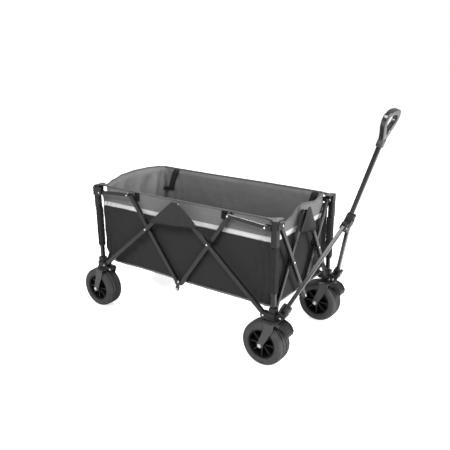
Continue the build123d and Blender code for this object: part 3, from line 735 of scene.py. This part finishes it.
def build_wall(which):
    """Outer cloth, liner, reflective tape, rim binding and foot piping of one wall."""
    sign = SIGN[which]
    if which in ("near", "far"):
        point, count, forward = long_wall, LONG_COLUMNS, sign < 0
        outward, cord_side = Vector((0, sign, 0)), (0, 1, 0)
        rim_in, foot_out = 0.0012, 0.0008
        tape_margin, cord_overrun = 0.002, 0.004
    else:
        point, count, forward = end_wall, END_COLUMNS, sign > 0
        outward, cord_side = Vector((sign, 0, 0)), None
        rim_in, foot_out = 0.0010, 0.0006
        tape_margin, cord_overrun = 0, 0

    def tape(along, up):
        z = lerp(TAPE_LOW, TAPE_HIGH, up)
        normal = outward
        if point is end_wall:
            outer, inner = end_path(sign, along, 0.0), end_path(sign, along, 0.01)
            normal = Vector((outer[0] - inner[0], outer[1] - inner[1], 0)).normalized()
        return Vector(point(which, along, share_up(which, along, z))) + normal * TAPE_LIFT

    alongs = columns(count, forward)
    wall = sheet(f"basket_wall_{which}", lambda along, up: point(which, along, up), alongs,
                 WALL_UPS, 0.0014, [CLOTH_DARK, CLOTH_BAND, CLOTH_LINER],
                 front_slot=lambda up: 1 if up > BAND_SHARE else 0, back_slot=2)
    if which == "near":
        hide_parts("basket")
    ride_wall(wall, which)
    liner = sheet(f"basket_liner_{which}", lambda along, up: point(which, along, up, True),
                  alongs[::-1], WALL_UPS, 0.0012, [CLOTH_LINER])
    cloth_on_wall(liner, which)
    tape_ends = (tape_margin, 1 - tape_margin) if forward else (1 - tape_margin, tape_margin)
    cloth_on_wall(sheet(f"reflective_tape_{which}", tape, steps(*tape_ends, count),
                        steps(0, 1, 4), TAPE_THICK, [TAPE]), which)
    for name, up, shift, stretch, material in (
            ("rim_binding", 1.0, outward * -rim_in + Vector((0, 0, 0.0004)), 1.35, RIM_BINDING),
            ("foot_piping", 0.0, outward * foot_out + Vector((0, 0, 0.0012)), 1.25, PIPING)):
        path = [Vector(point(which, along, up)) + shift
                for along in steps(-cord_overrun, 1 + cord_overrun, count)]
        cord = sweep(f"{name}_{which}", path, oval(0.0030, sides=10, stretch=stretch), material,
                     side=cord_side)
        cloth_on_wall(cord, which)


for wall_name in ("near", "far", "rear", "front"):
    build_wall(wall_name)

# Four long strips that overlap into pleats when the frame closes: near y, far y, body
FLOOR_STRIPS = (
    (-0.1955, -0.10, "corner_near_rear"), (-0.10, 0.0, "rear_end_2"),
    (0.0, 0.10, "rear_end_3"), (0.10, 0.1955, "corner_far_rear"),
)


def floor_strip(number, near_y, far_y, body):
    def surface(along, across):
        x = lerp(-(CLOTH_X - 0.004), CLOTH_X - 0.004, along)
        y = lerp(near_y, far_y, across)
        z = CLOTH_FOOT + 0.0085 + 0.0030 * ripple(x * 4, y * 6, 0, 61) - rear_dip(x)
        return (x, y, z + 0.002 * math.cos(x * 2 * math.pi / 0.215))

    strip = sheet(f"basket_floor_{number}", surface, steps(0, 1, LONG_COLUMNS), steps(0, 1, 12),
                  0.0040, [CLOTH_LINER, CLOTH_DARK], back_slot=1)
    cloth_on(strip, body)
    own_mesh(strip)


for i, floor_row in enumerate(FLOOR_STRIPS):
    floor_strip(i + 1, *floor_row)


# ------------------------------------------------------------------ cloth on the tubes
def tube_sleeve(name, start, stop, outward, width, depth, body, material, seed):
    """A cloth pocket drawn over a flat tube between two points on its axis."""
    sides, lengths = 28, 26
    squareness, cloth_thick = 0.42, 0.0009
    start, stop, outward = Vector(start), Vector(stop), Vector(outward)
    span = (stop - start).length
    side = (stop - start).normalized().cross(outward).normalized()
    verts, uvs, faces = [], [], []
    for shrink in (0.0, cloth_thick):
        for i in range(lengths + 1):
            centre = start.lerp(stop, i / lengths)
            for j in range(sides):
                angle = 2 * math.pi * j / sides
                cos, sin = math.cos(angle), math.sin(angle)
                x = math.copysign(abs(cos) ** squareness, cos) * width / 2
                y = math.copysign(abs(sin) ** squareness, sin) * depth / 2
                puff = 1 + 0.05 * ripple(i * 0.35, cos * 1.3, sin * 1.3, seed)
                puff += 0.02 * math.sin(i * 1.9 + 2 * cos)
                radius = math.hypot(x, y)
                scale = (radius * puff - shrink) / radius
                verts.append(centre + side * x * scale + outward * y * scale)
                uvs.append((i * span / lengths, j * 2 * (width + depth) / sides))
    inner = (lengths + 1) * sides
    for i in range(lengths):
        for j in range(sides):
            here, after = i * sides + j, i * sides + (j + 1) % sides
            quad = (here, after, after + sides, here + sides)
            faces.append(quad)
            faces.append(tuple(inner + corner for corner in reversed(quad)))
    for j in range(sides):
        here, after = j, (j + 1) % sides
        faces.append((after, here, inner + here, inner + after))
        here, after = lengths * sides + here, lengths * sides + after
        faces.append((here, after, inner + after, inner + here))
    cloth_on(add_mesh(name, verts, faces, [material], uvs), body)


def gusset(name, apex, slope, top, drops, insets, outward, span, thick, seed, half=0):
    """A triangle of cloth hung between two tubes, with its hem and stitching.

    top is its depth below the apex at the top and drops its depth at the two feet; insets
    narrow it on each side.  half -1 or +1 gives only one side of it, along span.
    """
    outward, span = Vector(outward), Vector(span)

    def surface(across, up):
        left, right = (max(0.0015, (lerp(drop, top, up) - inset) / slope)
                       for drop, inset in zip(drops, insets))
        offset = lerp(-left if half <= 0 else -0.0005, right if half >= 0 else 0.0005, across)
        depth = lerp(lerp(*drops, (offset + left) / (left + right)), top, up)
        depth += 0.005 * math.cos(offset / max(left, right) * math.pi / 2) * (1 - up) ** 3
        wave = 0.0006 * math.sin(offset * 150) * (1 - up)
        # The ripple follows the unsagged height
        flat = lerp(lerp(*drops, (offset + left) / (left + right)), top, up)
        wave += 0.0010 * ripple(offset * 20, flat * 18, 0, seed)
        return Vector(apex) + span * offset + Vector((0, 0, -depth)) + outward * wave

    body = sheet(name, surface, steps(0, 1, 44), steps(0, 1, 30), thick, [CLOTH_FLAP])
    hem_path = [surface(across, 0) - outward * thick / 2 for across in steps(0.01, 0.99, 40)]
    hem = sweep(name + "_hem", hem_path, oval(0.0014, sides=8, stretch=1.3), CLOTH_SLEEVE,
                side=outward)
    line = [surface(across, 0.07) + outward * 0.0002 for across in steps(0.03, 0.97, 60)]
    thread = stitches(name + "_stitch", line, CLOTH_SLEEVE, radius=0.00028, length=0.0024,
                      gap=0.0016)
    return body, hem, thread


TUBE_LAYER = 0.008                      # offset of a tube's axis from the post line
LONG_APEX_Z = TOP_PIVOT.z + 0.0163
LONG_DROPS = {"near": (0.093, 0.073), "far": (0.090, 0.090)}
LONG_INSETS = (0.0112, 0.0112)


def blend_near(pieces):
    """Bake each piece's transform into its mesh."""
    for piece in pieces:
        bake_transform(piece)


def long_gussets(side, sign):
    apex = (TOP_PIVOT.x, sign * (POST_Y + 0.0075), LONG_APEX_Z)
    shape = dict(slope=LONG_SLOPE, top=0.020, drops=LONG_DROPS[side], insets=LONG_INSETS,
                 outward=(0, sign, 0), span=(-sign, 0, 0), thick=0.0012)
    if side == "near":
        blend_near(gusset("top_gusset_near", apex, seed=71, **shape))
        return
    # The far one is in two halves, each gathered along its own tube
    for half, number in ((-1, 4), (1, 1)):
        for piece in gusset(f"top_gusset_far_{number}", apex, seed=73, half=half, **shape):
            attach(piece, f"far_tube_{number}")
            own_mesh(piece)


for side, sign_y in SIDES:
    long_gussets(side, sign_y)
    for number, sign_x, drop, depth in ((1, -1, LONG_DROPS[side][0], 0.0230),
                                        (4, 1, LONG_DROPS[side][1], 0.0190)):
        start, stop = (
            (TOP_PIVOT.x + sign_x * run, sign_y * (POST_Y + TUBE_LAYER),
             LONG_APEX_Z - run * LONG_SLOPE) for run in (0.0100, drop / LONG_SLOPE))
        tube_sleeve(f"gusset_pocket_{side}_{number}", start, stop, (0, sign_y, 0), width=0.0212,
                    depth=depth, body=f"{side}_tube_{number}", material=CLOTH_FLAP,
                    seed=3.0 + number)

blend_near(gusset("top_hood_near", (TOP_PIVOT.x, -(POST_Y + 0.0212), LONG_APEX_Z),
                  slope=LONG_SLOPE, top=-0.0105, drops=LONG_DROPS["near"],
                  insets=(-0.0150, -0.0270), outward=(0, -1, 0), span=(1, 0, 0),
                  thick=0.0014, seed=75))

# Per end: depths of the gusset's feet, of the hood's feet, and the hood's insets
END_GUSSETS = {
    "rear": ((0.080, 0.080), (0.066, 0.066), (-0.0300, -0.0300)),
    "front": ((0.068, 0.093), (0.062, 0.074), (-0.0500, -0.0265)),
}


def blend_end(pieces):
    """Bake each piece's transform into its mesh."""
    for piece in pieces:
        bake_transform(piece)


for end, sign_x in ENDS:
    feet, hood_feet, hood_insets = END_GUSSETS[end]
    facing = dict(slope=END_SLOPE, outward=(sign_x, 0, 0), span=(0, sign_x, 0))
    blend_end(gusset(f"top_gusset_{end}", (sign_x * POST_X, 0, CAP_Z), top=0.008, drops=feet,
                     insets=(0.0, 0.0), thick=0.0009, seed=81 + sign_x, **facing))
    blend_end(gusset(f"top_hood_{end}", (sign_x * (POST_X + 0.0192), 0, CAP_Z), top=-0.0225,
                     drops=hood_feet, insets=hood_insets, thick=0.0012, seed=85 + sign_x,
                     **facing))
    for number, sign_y, drop in ((1, -1, feet[0]), (4, 1, feet[1])):
        start, stop = (
            (sign_x * (POST_X + sign_y * TUBE_LAYER), sign_y * run, CAP_Z - run * END_SLOPE)
            for run in (0.0065, drop / END_SLOPE))
        tube_sleeve(f"gusset_pocket_{end}_{number}", start, stop, (sign_x, 0, 0), width=0.0186,
                    depth=0.0160, body=f"{end}_end_{number}", material=CLOTH_FLAP,
                    seed=9.0 + number)

# ------------------------------------------------------------------ post sleeves and corner webs
SLEEVE_FOOT, SLEEVE_TOP = 0.298, 0.474
WEB_FOOT, WEB_TOP = 0.246, 0.5395
WEB_BAND_SHARE = (BAND_FOOT - WEB_FOOT) / (WEB_TOP - WEB_FOOT)
TIE_Z = 0.5735


def post_sleeve(corner, sign_x, sign_y):
    """A cloth sleeve round a corner post, with two seams."""
    body = f"corner_{corner}"
    x, y = sign_x * POST_X, sign_y * POST_Y
    tube_sleeve(f"post_sleeve_{corner}", (x, y, SLEEVE_FOOT), (x, y, SLEEVE_TOP),
                (0, sign_y, 0), width=0.0262, depth=0.0262, body=body, material=CLOTH_SLEEVE,
                seed=14.0 + sign_x + 2 * sign_y)
    shifts = ((sign_x * 0.0003, sign_y * 0.01385), (sign_x * 0.01385, -sign_y * 0.004))
    for i, (shift_x, shift_y) in enumerate(shifts):
        path = [(x + shift_x, y + shift_y, z)
                for z in steps(SLEEVE_FOOT + 0.001, SLEEVE_TOP - 0.001, 24)]
        seam = sweep(f"sleeve_seam_{corner}_{i}", path, oval(0.0011, sides=8, stretch=0.6),
                     CLOTH_FLAP, side=(0, 1, 0))
        cloth_on(seam, body)


def corner_web(corner, sign_x, sign_y):
    """The strip of cloth from a post to the basket's corner, with its reflective tape."""
    post = Vector((sign_x * 0.4475, sign_y * (CLOTH_Y + 0.0050), 0))
    basket = Vector((sign_x * (CLOTH_X - 0.0070), sign_y * (CLOTH_Y - 0.0004), 0))

    def foot(across):
        return WEB_FOOT + 0.030 * (1 - across) ** 2

    def web(across, up):
        z = lerp(foot(across), WEB_TOP, up)
        wave = 0.0010 * math.sin(z * 75 + sign_x)
        wave += 0.0012 * ripple(across, z * 9, 0, 90 + sign_x)
        return post.lerp(basket, across) + Vector((0, sign_y * wave * (1 - across), z))

    def tape(across, up):
        z = lerp(TAPE_LOW, TAPE_HIGH, up)
        share = (z - foot(across)) / (WEB_TOP - foot(across))
        return web(across, share) + Vector((0, sign_y * TAPE_LIFT, 0))

    alongs = columns(10, sign_x * sign_y > 0)
    ups = steps(0, WEB_BAND_SHARE, 36) + steps(WEB_BAND_SHARE, 1, 8)[1:]
    cloth_on(sheet(f"corner_web_{corner}", web, alongs, ups, 0.0012, [CLOTH_DARK, CLOTH_BAND],
                   front_slot=lambda up: 1 if up > WEB_BAND_SHARE else 0), f"corner_{corner}")
    cloth_on(sheet(f"web_tape_{corner}", tape, alongs, steps(0, 1, 4), TAPE_THICK, [TAPE]),
             f"corner_{corner}")


def corner_tie(corner, sign_x, sign_y):
    """A narrow bound strip from the top of a post to the basket's rim."""
    rim_z = RIM_HEIGHT["rear" if sign_x < 0 else "front"](sign_y * 0.2)
    post = Vector((sign_x * 0.4525, sign_y * 0.2165, TIE_Z))
    rim = Vector((sign_x * (CLOTH_X - 0.0050), sign_y * (CLOTH_Y - 0.0030),
                  max(TIE_Z, rim_z - 0.001)))

    def tie(across, up):
        rise = lerp(-0.0060 * ease(across * 3), 0.0012, up) + 0.0010 * math.sin(3.1 * across)
        return post.lerp(rim, across) + Vector((0, 0, rise))

    cloth_on(sheet(f"corner_tie_{corner}", tie, columns(10, sign_x * sign_y > 0),
                   steps(0, 1, 6), 0.0016, [CLOTH_DARK]), f"corner_{corner}")
    cloth_on(sweep(f"corner_tie_binding_{corner}", [tie(across, 1.0) for across in steps(0, 1, 12)],
                   oval(0.0030, sides=10, stretch=1.2), RIM_BINDING, side=(0, 1, 0)),
             f"corner_{corner}")


for place in CORNERS:
    post_sleeve(*place)
    corner_web(*place)
for place in CORNERS:
    corner_tie(*place)

# ------------------------------------------------------------------ rim tabs, straps, stitching
TAB_XS = (-0.2400, 0.2180)
# Lengthwise section of a tab: x shift, distance out from the wall, depth below the rim
TAB_PATH = ((0, 0.0004, 0.0015), (0, 0.0028, 0.0042), (0, 0.0034, 0.012),
            (-0.001, 0.0038, 0.024), (-0.002, 0.0044, 0.0345))
TAB_STITCH = ((-0.0118, 0.0047, 0.014), (-0.0130, 0.0052, 0.0315), (0.0095, 0.0052, 0.0325),
              (0.0108, 0.0047, 0.013))


def rim_tab(which, number, tab_x):
    """A webbing tab hanging outside the rim, stitched round three sides."""
    top = RIM_HEIGHT[which](tab_x)
    path, line = ([(tab_x + shift, SIGN[which] * (CLOTH_Y + out), top - drop)
                   for shift, out, drop in table] for table in (TAB_PATH, TAB_STITCH))
    cloth_on_wall(sweep(f"rim_tab_{which}_{number}", subdivide(path),
                        strap_profile(0.0275, 0.0016), HOOK_TAPE, side=(1, 0, 0.05)), which)
    cloth_on_wall(stitches(f"rim_tab_stitch_{which}_{number}", line, CLOTH_FLAP,
                           radius=0.00045, length=0.0026, gap=0.0014), which)


for side, _ in SIDES:
    for i, tab_x in enumerate(TAB_XS):
        rim_tab(side, i, tab_x)

# Straps inside the far wall: top x and z, bottom x and z, x direction of the end piece
INNER_STRAPS = ((-0.3500, 0.5810, -0.3880, 0.4860, -1), (0.3990, 0.5810, 0.3700, 0.4850, 1))
# End piece from the strap's bottom: x shift along its direction, distance in from the wall, rise
STRAP_END = ((-0.020, 0.0205, 0.004), (0.002, 0.0225, 0.001), (0.018, 0.0270, -0.001),
             (0.030, 0.0340, -0.002))


def inner_strap(number, top_x, top_z, low_x, low_z, end_sign):
    path = [(top_x, CLOTH_Y - 0.0065, top_z), (top_x, CLOTH_Y - 0.0125, top_z - 0.004)]
    for share in steps(0.06, 1, 14):
        path.append((lerp(top_x, low_x, share),
                     CLOTH_Y - 0.0190 - 0.004 * math.sin(math.pi * share),
                     lerp(top_z, low_z, share)))
    fall = Vector((low_x - top_x, 0, low_z - top_z)).normalized()
    cloth_on_wall(sweep(f"inner_strap_{number}", path, strap_profile(0.026, 0.0018), WEBBING,
                        side=(-fall.z, 0, fall.x)), "far")
    end_piece = [(low_x + end_sign * shift, CLOTH_Y - inward, low_z + rise)
                 for shift, inward, rise in STRAP_END]
    cloth_on_wall(sweep(f"strap_end_{number}", subdivide(end_piece),
                        strap_profile(0.015, 0.0030), HOOK_TAPE, side=(0, 0, 1)), "far")


for i, strap in enumerate(INNER_STRAPS):
    inner_strap(i, *strap)

# Stitch rows on the long walls: name, height (None for just under the rim), lift, material
STITCH_ROWS = (("low", TAPE_LOW + 0.0022, 0.0010, CLOTH_BAND),
               ("high", TAPE_HIGH - 0.0022, 0.0010, CLOTH_BAND), ("rim", None, 0.0002, THREAD))
for side, sign_y in SIDES:
    for row_name, row_z, lift, material in STITCH_ROWS:
        line = []
        for along in steps(0.004, 0.996, 240):
            up = 0.968 if row_z is None else share_up(side, along, row_z)
            line.append(Vector(long_wall(side, along, up)) + Vector((0, sign_y * lift, 0)))
        cloth_on_wall(stitches(f"stitch_{row_name}_{side}", line, material, radius=0.00030,
                               length=0.0030, gap=0.0018), side)

# ------------------------------------------------------------------ bright rivet heads
HEAD_RADIUS, BIG_HEAD_RADIUS = 0.0046, 0.0054
HEAD_HEIGHT = 0.0024
HEAD_SIDES = 24
# Section of a head: share of the radius, share of the height
HEAD_SECTION = ((1.0, -0.15), (1.0, 0.30), (0.93, 0.55), (0.78, 0.78), (0.55, 0.93), (0.28, 1.0))
heads = {}                              # body: its heads as (place, normal, radius)


def head(body, place, normal, radius=HEAD_RADIUS):
    heads.setdefault(body, []).append((Vector(place), Vector(normal).normalized(), radius))


def side_heads(side, sign_y):
    """Heads on the posts, tubes and links of one long side."""
    outward = Vector((0, sign_y, 0))
    for end, sign_x in ENDS:
        corner = f"{side}_{end}"
        low_x = at("fold").x if sign_x < 0 else at("near_front_low_pivot").x
        head(f"corner_{corner}", (low_x, sign_y * (POST_Y + 0.0200), LOW_Z), outward)
        link = at(f"{side}_link_pivot_{end}")
        head(f"corner_{corner}", (link.x, sign_y * (POST_Y + 0.0190), link.z), outward, 0.0047)
        cross = at(f"{side}_{end}_crossing")
        head(f"{side}_tube_{1 if sign_x < 0 else 4}",
             (cross.x, sign_y * (POST_Y + 0.0155), cross.z), outward)
        head(f"{side}_link_{end}",
             (low_x - sign_x * 0.16608, sign_y * (POST_Y + 0.0145), LOW_Z + 0.355), outward)
        low_out, cap_out = (0.0040, 0.0190) if sign_y < 0 else (0.0200, 0.0030)
        endward = Vector((sign_x, 0, 0))
        pivot_y = sign_y * END_PIVOT_Y
        head(f"corner_{corner}", (sign_x * (POST_X + low_out), pivot_y, LOW_Z), endward)
        head(f"cap_{corner}", (sign_x * (POST_X + cap_out), pivot_y, CAP_Z), endward)
        if sign_x > 0:
            pitch = at("handle_pitch")
            for face in (-1, 1):
                head(f"corner_{corner}",
                     (pitch.x, sign_y * abs(pitch.y) + face * 0.0132, pitch.z), (0, face, 0))
    tube_y = sign_y * (POST_Y + 0.0020)
    head(f"{side}_tube_2", (TOP_PIVOT.x, tube_y, LOW_Z + 0.020), outward)
    head(f"{side}_tube_2", (TOP_PIVOT.x - 0.0070, tube_y, LOW_Z - 0.0130), outward,
         BIG_HEAD_RADIUS)
    head(f"corner_{side}_rear", (-POST_X + 0.060, sign_y * (POST_Y + 0.0198), 0.194), outward,
         BIG_HEAD_RADIUS)


def end_heads(end, sign_x):
    middle_z = (LOW_Z + CAP_Z) / 2
    for number, y, z in ((2, -END_PIVOT_Y / 2, middle_z), (4, END_PIVOT_Y / 2, middle_z),
                         (2, 0, LOW_Z)):
        head(f"{end}_end_{number}", (sign_x * (POST_X + 0.0155), y, z), (sign_x, 0, 0))


def handle_heads(side, sign_y):
    """Heads on both faces of a handle knuckle and of the hub."""
    axis = Vector(JOINTS["leg_close_near"]["axis"])
    knuckle, hub = at(f"leg_close_{side}"), at("hub_pivot")
    for face in (-1, 1):
        head(f"knuckle_{side}", knuckle + axis * face * 0.0160, axis * face)
        head("hub", Vector((hub.x, sign_y * abs(hub.y), hub.z)) + axis * face * 0.0120,
             axis * face)


def build_heads(body, group):
    """One mesh of domed heads for all the rivets on a body."""
    verts, faces = [], []
    for place, normal, radius in group:
        side = normal.cross(Vector((0, 0, 1)) if abs(normal.z) < 0.9
                            else Vector((1, 0, 0))).normalized()
        across = normal.cross(side)
        base = len(verts)
        for wide, high in HEAD_SECTION:
            for i in range(HEAD_SIDES):
                angle = 2 * math.pi * i / HEAD_SIDES
                radial = side * math.cos(angle) + across * math.sin(angle)
                verts.append(place + radial * radius * wide + normal * HEAD_HEIGHT * high)
        crown = len(verts)
        verts.append(place + normal * HEAD_HEIGHT * 1.01)
        last = crown - HEAD_SIDES
        for start in range(base, last, HEAD_SIDES):
            for i in range(HEAD_SIDES):
                here, after = start + i, start + (i + 1) % HEAD_SIDES
                faces.append((here, after, after + HEAD_SIDES, here + HEAD_SIDES))
        for i in range(HEAD_SIDES):
            faces.append((last + i, last + (i + 1) % HEAD_SIDES, crown))
        faces.append(tuple(base + i for i in reversed(range(HEAD_SIDES))))
    uvs = [(v.x + v.y, v.z) for v in verts]
    piece = add_mesh(f"rivet_heads_{body}", verts, faces, [RIVET], uvs)
    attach(piece, body)


for side, sign_y in SIDES:
    side_heads(side, sign_y)
for end, sign_x in ENDS:
    end_heads(end, sign_x)
for side, sign_y in SIDES:
    handle_heads(side, sign_y)
for body, group in heads.items():
    build_heads(body, group)

# ------------------------------------------------------------------ tyres with a grooved tread
MM = 0.001
# Half section of a tyre in mm: distance from its middle plane, radius
TYRE_HALF = (
    (34.0, 59.2), (35.8, 60.4), (36.9, 62.5), (37.5, 66.0), (37.6, 67.0), (37.9, 67.4),
    (37.9, 69.4), (37.5, 69.9), (37.6, 74.0), (37.8, 74.4), (37.4, 76.0), (36.6, 79.0),
    (35.3, 81.8), (33.2, 84.4), (30.5, 86.3), (27.6, 87.6), (25.0, 88.5), (22.6, 89.1),
    (20.2, 89.5), (19.4, 87.4), (17.2, 87.4), (16.4, 89.7), (13.5, 89.85), (10.4, 89.95),
    (9.7, 88.0), (8.1, 88.0), (7.4, 90.0), (5.2, 90.0), (3.0, 90.0), (2.3, 87.4), (0.0, 87.4),
)
TYRE_SECTION = [(-y, radius) for y, radius in TYRE_HALF] + list(TYRE_HALF[-2::-1])
TYRE_SEGMENTS = 360
DEGREES = 360 // TYRE_SEGMENTS
SHOULDER = 21                           # mm from the middle plane where the side blocks start
SIDEWALL = 34.0


def groove_phase(segment, skew, y):
    """Place in the six-degree groove pitch; the far half is set off by half a pitch."""
    return (segment * DEGREES + int(skew) + (3 if y > 0 else 0)) % 6


def groove_depth(segment, y, radius):
    """Depth in mm cut at a point of the section."""
    out = abs(y)
    if radius > 88.6 and out < SHOULDER:
        return 1.3 if groove_phase(segment, 0.30 * out, y) == 0 else 0.0
    if SHOULDER <= out < SIDEWALL:
        return 1.5 if groove_phase(segment, 0.22 * out, y) < 2 else 0.0
    if out >= SIDEWALL and radius > 76:
        return 0.7 if groove_phase(segment, 7, y) < 2 else 0.0
    return 0.0


def tread_slot(segment, start, stop):
    """Material slot of one face: 0 sidewall, 1 tread, 2 groove, painted darker as shade in the
    recess.
    """
    out = (abs(start[0]) + abs(stop[0])) / 2
    low = min(start[1], stop[1])
    if out >= 33.5 or low < 84:
        return 0
    if low < 88.3 and out < SHOULDER:
        return 2
    if out >= SHOULDER and groove_phase(segment, 0.22 * out, start[0]) < 2:
        return 2
    return 1


def tyre(corner):
    low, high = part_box(f"tyre_{corner}")
    centre = (low + high) / 2
    size = len(TYRE_SECTION)
    verts, uvs, faces, slots = [], [], [], []
    for k in range(TYRE_SEGMENTS):
        angle = 2 * math.pi * k / TYRE_SEGMENTS
        for y, radius in TYRE_SECTION:
            radius -= groove_depth(k, y, radius)
            verts.append((centre.x + radius * MM * math.cos(angle), centre.y + y * MM,
                          centre.z + radius * MM * math.sin(angle)))
            uvs.append((angle * radius * MM, y * MM))
    for k in range(TYRE_SEGMENTS):
        ring, next_ring = k * size, (k + 1) % TYRE_SEGMENTS * size
        for q in range(size):
            after = (q + 1) % size
            faces.append((ring + q, next_ring + q, next_ring + after, ring + after))
            slots.append(tread_slot(k, TYRE_SECTION[q], TYRE_SECTION[after]))
    tread = add_mesh(f"tread_{corner}", verts, faces, [TREAD, TREAD_TOP, GROOVE_SHADE_RUBBER], uvs,
                     slots, smooth=False)
    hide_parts(f"tyre_{corner}")
    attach(tread, f"wheel_{corner}")


for corner, _, _ in CORNERS:
    tyre(corner)

# ------------------------------------------------------------------ rounder moulded grip
grip = frame["nodes"]["handle_grip"]
skin = grip.modifiers.new("skin", "REMESH")
skin.mode = "VOXEL"
skin.voxel_size = 0.0016
skin.use_smooth_shade = True
rounding = grip.modifiers.new("round", "SMOOTH")
rounding.factor = 0.6
rounding.iterations = 14


# ------------------------------------------------------------------ camera, light, floor
def add_camera(place, target, roll, lens):
    data = bpy.data.cameras.new("camera")
    camera = bpy.data.objects.new("camera", data)
    bpy.context.scene.collection.objects.link(camera)
    data.sensor_width = 36.0
    data.sensor_height = 36.0
    data.sensor_fit = "HORIZONTAL"
    data.lens = lens
    forward = (target - place).normalized()
    level = forward.cross(Vector((0, 0, 1))).normalized()
    upright = level.cross(forward)
    right = level * math.cos(roll) + upright * math.sin(roll)
    up = -level * math.sin(roll) + upright * math.cos(roll)
    matrix = Matrix((right, up, -forward)).transposed().to_4x4()
    matrix.translation = place
    camera.matrix_world = matrix
    bpy.context.scene.camera = camera


def add_world(seen, cast):
    """A white world; the camera sees strength seen, everything else gets cast."""
    world = bpy.data.worlds.new("studio")
    world.use_nodes = True
    tree = world.node_tree
    dim = tree.nodes["Background"]
    bright = tree.nodes.new("ShaderNodeBackground")
    for background, strength in ((dim, cast), (bright, seen)):
        background.inputs["Color"].default_value = (1, 1, 1, 1)
        background.inputs["Strength"].default_value = strength
    ray = tree.nodes.new("ShaderNodeLightPath")
    pick = tree.nodes.new("ShaderNodeMixShader")
    tree.links.new(ray.outputs["Is Camera Ray"], pick.inputs[0])
    tree.links.new(dim.outputs[0], pick.inputs[1])
    tree.links.new(bright.outputs[0], pick.inputs[2])
    tree.links.new(pick.outputs[0], tree.nodes["World Output"].inputs["Surface"])
    bpy.context.scene.world = world


def add_area(name, place, aim, size, watts):
    data = bpy.data.lights.new(name, "AREA")
    data.shape = "RECTANGLE"
    data.size, data.size_y = size
    data.energy = watts
    light = bpy.data.objects.new(name, data)
    bpy.context.scene.collection.objects.link(light)
    light.location = place
    light.rotation_euler = (Vector(aim) - Vector(place)).to_track_quat("-Z", "Y").to_euler()


def add_floor(half_size, camera_glow):
    """A pale floor that glows for the camera only."""
    nodes = MaterialNodes("studio_floor")
    drift = nodes.noise(nodes.coords(), scale=0.8)
    nodes.set(Base_Color=nodes.ramp(drift, grey(0.90), grey(0.93)), Roughness=0.7,
              Normal=nodes.bump(nodes.noise(nodes.coords(), scale=90.0, detail=2.0),
                                distance=0.0003, strength=0.2),
              Specular_IOR_Level=0.1, Emission_Color=(1, 1, 1, 1))
    ray = nodes.add("LightPath")
    nodes.set(Emission_Strength=nodes.calc("MULTIPLY", ray.outputs["Is Camera Ray"],
                                           camera_glow))
    uvs = [(0, 0), (1, 0), (1, 1), (0, 1)]
    verts = [((2 * x - 1) * half_size, (2 * y - 1) * half_size, 0) for x, y in uvs]
    add_mesh("studio_floor", verts, [(0, 1, 2, 3)], [nodes.mat], uvs, smooth=False)


add_camera(place=Vector((1.442, -1.892, 1.193)), target=Vector((0.0042, 0.0951, 0.3898)),
           roll=math.radians(-0.293), lens=45.97)
add_world(seen=1.0, cast=0.33)
add_area("key", place=(0.6, -2.6, 3.0), aim=(0, 0, 0.4), size=(2.0, 1.4), watts=100)
add_area("side", place=(3.2, 0.4, 1.9), aim=(0.2, 0, 0.4), size=(0.8, 2.0), watts=120)
add_area("back", place=(-1.6, 2.4, 2.8), aim=(0, 0, 0.4), size=(2.0, 1.0), watts=110)
add_floor(half_size=12, camera_glow=0.74)
bpy.context.scene.view_settings.view_transform = "Standard"
bpy.context.scene.view_settings.look = "None"

bpy.context.view_layer.update()
